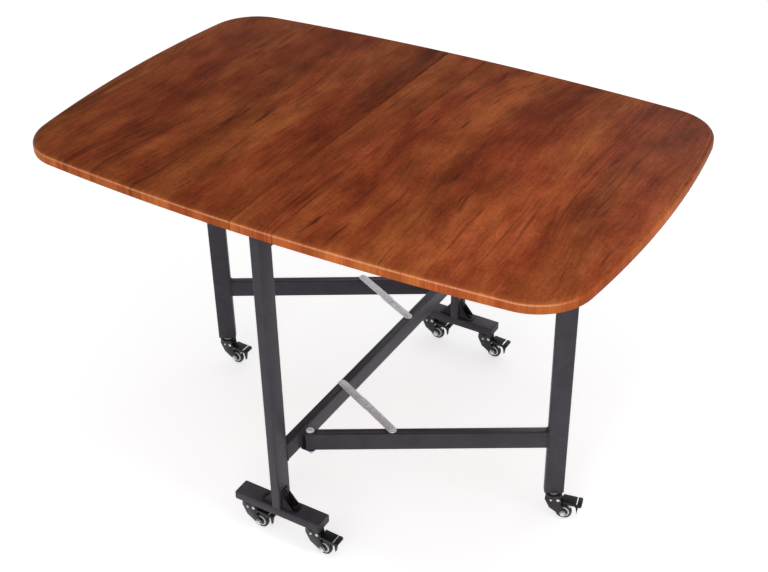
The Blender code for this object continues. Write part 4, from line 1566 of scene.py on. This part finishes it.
@dataclass
class Brace(Assembly):
    """A gate's folding brace: two flat links and three rivets."""

    side: Side
    width: float = 0.018
    plate: float = 0.0020
    overlap: float = 0.018
    top_round: float = 0.0004
    low_round: float = 0.0003
    head: float = 0.0052
    crown: float = 0.0018
    rim: float = 0.0002
    sink: float = 0.0004
    shank: float = 0.0030
    tail: float = 0.0035
    spacer_radius: float = 0.0066
    spacer_ease: Point2 = (0.0002, 0.0003)
    bite: float = 0.0005
    sides: int = 28
    dome_steps: int = 6
    end_steps: int = 18
    edge_steps: int = 3

    def rivet(self, level: float, tail: float) -> Mesh:
        """Make a domed rivet.

        Args:
            level: Level on which its head stands.
            tail: Level at which its shank ends.

        Returns:
            The rivet's mesh.
        """
        dome = arc((0.0, level + self.rim), self.crown - self.rim, math.pi / 2, 0.0, self.dome_steps)
        stretch = self.head / (self.crown - self.rim)
        profile = [(x * stretch, z) for x, z in dome]
        profile += [(self.head, level - self.sink), (self.shank, level - self.sink)]
        return lathe(profile + [(self.shank, tail), (0.0, tail)], self.sides)

    def bar(self, length: float, low: float) -> Mesh:
        """Make a flat bar with round ends.

        Args:
            length: Distance of the ends' middles; the first one is the origin.
            low: Level of its lower face.

        Returns:
            The bar's mesh, along X.
        """
        half = self.width / 2
        outline = arc((length, 0.0), half, -math.pi / 2, math.pi / 2, self.end_steps)
        outline += arc((0.0, 0.0), half, math.pi / 2, 3 * math.pi / 2, self.end_steps)
        inward = Prism.inward_of(outline)
        rounds = (self.top_round, self.low_round, self.edge_steps)
        return Prism(outline, inward, low, low + self.plate, *rounds).mesh()

    def build(self) -> None:
        """Make the two links."""
        stem = f"brace_{self.side.word}"
        foot = self.shop.pivot(f"{stem}_lower_fold")
        hand = self.shop.pivot(f"{stem}_upper_fold")
        span = hand - foot
        length = span.length / 2
        angle = math.atan2(span.y, span.x)
        low = foot.z + FIT
        high = low + self.plate + FIT
        end = foot.z - self.tail
        lower = merged([self.bar(length, low), self.rivet(low + self.plate, end)])
        middle = self.rivet(high + self.plate, high + self.bite)
        upper = merged(
            [
                self.bar(length + self.overlap, high),
                self.spacer(low, high + self.bite),
                placed(middle, Matrix.Translation((length, 0.0, 0.0))),
                self.rivet(high + self.plate, end),
            ]
        )
        links = (("lower", lower, foot, angle), ("upper", upper, hand, angle + math.pi))
        for link, mesh, place, turn in links:
            matrix = Matrix.Translation((place.x, place.y, 0.0)) @ Matrix.Rotation(turn, 4, "Z")
            self.shop.stand_in(f"{stem}_{link}_link", placed(mesh, matrix), ZINC)

    def spacer(self, low: float, high: float) -> Mesh:
        """Make the spacer that holds the upper link above the bar.

        Args:
            low: Level of its lower face.
            high: Level of its upper face.

        Returns:
            The spacer's mesh.
        """
        inset, rise = self.spacer_ease
        radius = self.spacer_radius
        profile = [(0.0, low), (radius - inset, low), (radius, low + rise), (radius, high), (0.0, high)]
        return lathe(profile, self.sides)


# Casters


@dataclass
class Caster(Assembly):
    """A braked swivel caster: stem, fork, wheel and pedal.

    Half of the wheel's section is given as radius, height and the finish of the stretch that starts there.
    """

    spot: Spot
    fork_half: float = 0.0102
    rivet_front: Point2 = (-0.0027, 0.0475)
    pedal_pivot: Point2 = (0.0120, 0.0505)
    pedal_slope: float = math.radians(2.5)
    pad_width: float = 0.0240
    crease_reach: float = 0.0385
    crease_radius: float = 0.0014
    crease_inset: float = 0.0006
    crease_lift: float = 0.0006
    cheek_gap: float = 0.0168
    shoe_radius: float = 0.0181
    shoe_plate: float = 0.0006
    shoe_width: float = 0.0092
    shoe_round: float = 0.0001
    shoe_arc: Point2 = (math.radians(42.0), math.radians(116.0))
    # Painted highlight: the leaf is bright metal up to this angle, black beyond
    shoe_bare: float = math.radians(68.0)
    shoe_pin: float = 0.0011
    stem_ease: float = 0.0003
    fork_ease: float = 0.0004
    wheel_sides: int = 72
    rod_sides: int = 12
    shoe_steps: int = 24
    edge_steps: int = 2
    wheel_side: tuple[tuple[float, float, Band], ...] = (
        (0.0033, 0.0081, Band.HUB),
        (0.0054, 0.0081, Band.HUB),
        (0.0062, 0.0074, Band.HUB),
        (0.0068, 0.0052, Band.HUB),
        (0.0084, 0.0046, Band.HUB),
        (0.0092, 0.0047, Band.RING),
        (0.0096, 0.0051, Band.RING),
        (0.0121, 0.0050, Band.RING),
        (0.0125, 0.0046, Band.HUB),
        (0.0129, 0.0044, Band.TYRE),
        (0.0134, 0.0048, Band.TYRE),
        (0.0152, 0.0049, Band.TYRE),
        (0.0162, 0.0045, Band.TYRE),
        (0.0168, 0.0037, Band.TYRE),
        (0.0171, 0.0026, Band.TYRE),
        (0.0172, 0.0012, Band.TYRE),
    )

    def matrix(self) -> Matrix:
        """Find the caster's own frame, trailing towards +X from its swivel.

        Returns:
            The matrix from that frame to the table.
        """
        swivel = self.shop.pivot(f"caster_{self.spot.word}_swivel")
        across = Vector(self.shop.joints[f"caster_{self.spot.word}_roll"]["axis"])
        turn = math.atan2(-across.x, across.y)
        return Matrix.Translation((swivel.x, swivel.y, 0.0)) @ Matrix.Rotation(turn, 4, "Z")

    def build(self) -> None:
        """Make the caster's four pieces and its fasteners."""
        name = f"caster_{self.spot.word}"
        matrix = self.matrix()
        self.shop.dress(f"{name}_stem", STEM_STEEL, self.stem_ease)
        self.shop.dress(f"{name}_fork", SHEEN_CHEEK_COAT, self.fork_ease)
        self.shop.dress(f"{name}_pedal", BLACK_COAT, self.fork_ease)
        axle = self.shop.pivot(f"{name}_roll")
        about_axle = Matrix.Translation(axle) @ matrix.to_3x3().to_4x4()
        self.shop.stand_in(f"{name}_wheel", placed(self.wheel(), about_axle), TYRE, PALE_RING, HUB)
        # A bright metal ridge on the pedal's bend, a painted highlight
        self.shop.add(f"{name}_pedal_crease", placed(self.crease(), matrix), f"{name}_pedal", [BRIGHT])
        shoe = placed(self.brake_shoe(), about_axle)
        self.shop.add(f"{name}_brake_shoe", shoe, f"{name}_fork", [BRIGHT, BLACK_COAT])
        self.fork_fasteners(name, matrix, axle)

    def wheel(self) -> Mesh:
        """Make the wheel about Y with a tyre, a pale ring on each side and a hub.

        Returns:
            The wheel's mesh.
        """
        half = [(radius, height) for radius, height, _ in self.wheel_side]
        bands = [band for _, _, band in self.wheel_side[:-1]]
        profile = half + [(radius, -height) for radius, height in reversed(half)]
        finishes = bands + [Band.TYRE] + bands[::-1] + [Band.HUB]
        wheel = lathe(profile, self.wheel_sides, ring=True, finishes=finishes)
        return placed(wheel, Matrix.Rotation(-math.pi / 2, 4, "X"))

    def crease(self) -> Mesh:
        """Make the ridge across the pedal's pad, in bright metal as a painted highlight on its bend.

        Returns:
            The line's mesh, in the caster's frame.
        """
        bar = rod(self.crease_radius, self.pad_width / 2 - self.crease_inset, self.rod_sides)
        x, z = self.pedal_pivot
        hinge = Matrix.Translation((x, 0.0, z)) @ Matrix.Rotation(self.pedal_slope, 4, "Y")
        out = Matrix.Translation((self.crease_reach, 0.0, self.crease_lift))
        return placed(bar, hinge @ out @ Matrix.Rotation(math.pi / 2, 4, "X"))

    def brake_shoe(self) -> Mesh:
        """Make the leaf just above the tyre, bright at its tip as a painted highlight on the tyre, with the
        pin that holds it between the cheeks.

        Returns:
            The mesh of both, about the axle.
        """
        start, end = self.shoe_arc
        inner = self.shoe_radius - self.shoe_plate
        outline = arc((0.0, 0.0), self.shoe_radius, start, end, self.shoe_steps)
        outline += arc((0.0, 0.0), inner, end, start, self.shoe_steps)
        half = self.shoe_width / 2
        inward = Prism.inward_of(outline)
        rounds = (self.shoe_round, self.shoe_round, self.edge_steps)
        leaf = Prism(outline, inward, -half, half, *rounds).mesh()
        for face in leaf.polygons:
            # Bright metal towards the tip as a painted highlight on the tyre, black coat beyond
            face.material_index = int(math.atan2(face.center.y, face.center.x) > self.shoe_bare)
        reach = self.shoe_radius + self.shoe_pin / 2
        out = Matrix.Translation((reach * math.cos(end), reach * math.sin(end), 0.0))
        pin = placed(rod(self.shoe_pin, self.cheek_gap / 2, self.rod_sides), out)
        return placed(merged([leaf, pin]), Matrix.Rotation(math.pi / 2, 4, "X"))

    def fork_fasteners(self, name: str, matrix: Matrix, axle: Vector) -> None:
        """Set the nuts of the axle and the rivets of the cheeks.

        Args:
            name: Name of the caster.
            matrix: The caster's frame.
            axle: Middle of the axle.
        """
        across = matrix.to_3x3() @ ACROSS
        ways = [across, -across]
        nuts = [axle + way * self.fork_half for way in ways]
        self.shop.fasten(f"{name}_axle_nuts", nuts, ways, f"{name}_fork", AXLE_NUT)
        rivets = (("pedal", PEDAL_RIVET, self.pedal_pivot), ("cheek", CHEEK_RIVET, self.rivet_front))
        for word, rivet, (x, z) in rivets:
            spots = [matrix @ Vector((x, sign * self.fork_half, z)) for sign in (1, -1)]
            self.shop.fasten(f"{name}_{word}_rivets", spots, ways, f"{name}_fork", rivet)


# Studio


@dataclass(frozen=True)
class Lamp:
    """A soft rectangular lamp: its place, its aim, its sides in metres and its power in watts.

    A lamp for sheen alone is only mirrored by surfaces and doesn't light them.
    """

    name: str
    place: Point3
    aim: Point3
    width: float
    height: float
    power: float
    sheen: bool = False

    def hang(self) -> None:
        """Put the lamp into the scene."""
        data = bpy.data.lights.new(self.name, "AREA")
        data.shape = "RECTANGLE"
        data.size = self.width
        data.size_y = self.height
        data.energy = self.power
        lamp = bpy.data.objects.new(self.name, data)
        lamp.location = self.place
        way = Vector(self.aim) - Vector(self.place)
        lamp.rotation_euler = way.to_track_quat("-Z", "Y").to_euler()
        lamp.visible_camera = False
        lamp.visible_diffuse = not self.sheen
        bpy.context.scene.collection.objects.link(lamp)


@dataclass(frozen=True)
class PaleFloor(Finish):
    """A pale floor with a faint mottle, lifted to white where it is seen directly or mirrored."""

    roughness: float = 0.85
    gloss: float = 0.1
    lift: float = 0.55
    mottle: Cloud = Cloud(3.0, 3.0)
    tones: Span = Span(0.3, 0.7, 0.985, 1.0)

    def paint(self, graph: ShaderGraph) -> None:
        """Mottled tone and a glow for looking rays.

        Args:
            graph: Empty material to fill.
        """
        graph.surface(
            Base_Color=self.toned(graph, self.mottle.on(graph, graph.place()), self.tones),
            Roughness=self.roughness,
            Specular_IOR_Level=self.gloss,
            Emission_Color=WHITE,
            Emission_Strength=graph.product(graph.seen(), self.lift),
        )


@dataclass
class Studio:
    """Pale floor, soft lights and the camera at the photograph's angle."""

    place: Point3 = (1.18122, -1.89922, 1.91198)
    right: Point3 = (0.85896, 0.51179, -0.01574)
    up: Point3 = (-0.27676, 0.48992, 0.82667)
    back: Point3 = (0.43080, -0.70572, 0.56247)
    lens: float = 61.107
    sensor: float = 36.0
    view_reach: float = 60.0
    floor_half: float = 14.0
    floor_level: float = -0.0002
    floor_finish: PaleFloor = PaleFloor("pale_floor", "", (0.96, 0.96, 0.965))
    world_strength: float = 0.48
    lamps: tuple[Lamp, ...] = (
        Lamp("overhead", (0.68, -0.30, 1.95), (0.6, -0.30, 0.75), 0.4, 0.4, 10.2),
        Lamp("front", (0.7, -3.0, 1.2), (0.1, -0.4, 0.5), 3.0, 0.9, 21.0),
        Lamp("right", (3.0, -0.6, 1.0), (0.0, -0.2, 0.3), 1.5, 1.0, 9.0),
        Lamp("far_sheen", (0.12, 2.88, 2.07), (0.45, 0.2, 0.75), 1.0, 0.8, 18.0, True),
    )

    def build(self) -> None:
        """Make the floor, the world, the lamps and the camera."""
        self.floor()
        self.world()
        for lamp in self.lamps:
            lamp.hang()
        self.camera()
        bpy.context.scene.view_settings.view_transform = "Standard"

    def floor(self) -> None:
        """Lay a wide pale floor."""
        half = self.floor_half
        mesh = bpy.data.meshes.new("floor")
        corners = [(-half, -half), (half, -half), (half, half), (-half, half)]
        mesh.from_pydata([(x, y, self.floor_level) for x, y in corners], [], [(0, 1, 2, 3)])
        mesh.materials.append(self.floor_finish.material())
        floor = bpy.data.objects.new("floor", mesh)
        bpy.context.scene.collection.objects.link(floor)

    def world(self) -> None:
        """Set even pale light from all around, white where it is seen directly or mirrored."""
        world = bpy.data.worlds.new("studio")
        world.use_nodes = True
        graph = Graph(world.node_tree)
        background = world.node_tree.nodes["Background"]
        white = graph.product(graph.seen(), 1.0 - self.world_strength)
        graph.feed(background.inputs["Color"], WHITE)
        graph.feed(background.inputs["Strength"], graph.worked("ADD", white, self.world_strength))
        bpy.context.scene.world = world

    def camera(self) -> None:
        """Set up the camera that the photograph was fitted with."""
        data = bpy.data.cameras.new("photo_camera")
        data.sensor_fit = "HORIZONTAL"
        data.sensor_width = self.sensor
        data.lens = self.lens
        data.clip_end = self.view_reach
        camera = bpy.data.objects.new("photo_camera", data)
        axes = Matrix((self.right, self.up, self.back)).transposed().to_4x4()
        camera.matrix_world = Matrix.Translation(self.place) @ axes
        bpy.context.scene.collection.objects.link(camera)
        bpy.context.scene.camera = camera


def main() -> None:
    """Load the frame, dress it, and set up the studio."""
    logging.basicConfig(level=logging.INFO, format="%(name)s: %(message)s")
    for leftover in list(bpy.data.objects):
        bpy.data.objects.remove(leftover)
    shop = Workshop(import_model())
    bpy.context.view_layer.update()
    Studio().build()
    TableTop(shop).build()
    LeafHinges(shop).build()
    CentreFrame(shop).build()
    for side in Side:
        Gate(shop, side).build()
        Brace(shop, side).build()
    for spot in Spot:
        Caster(shop, spot).build()


if __name__ == "__main__":
    main()
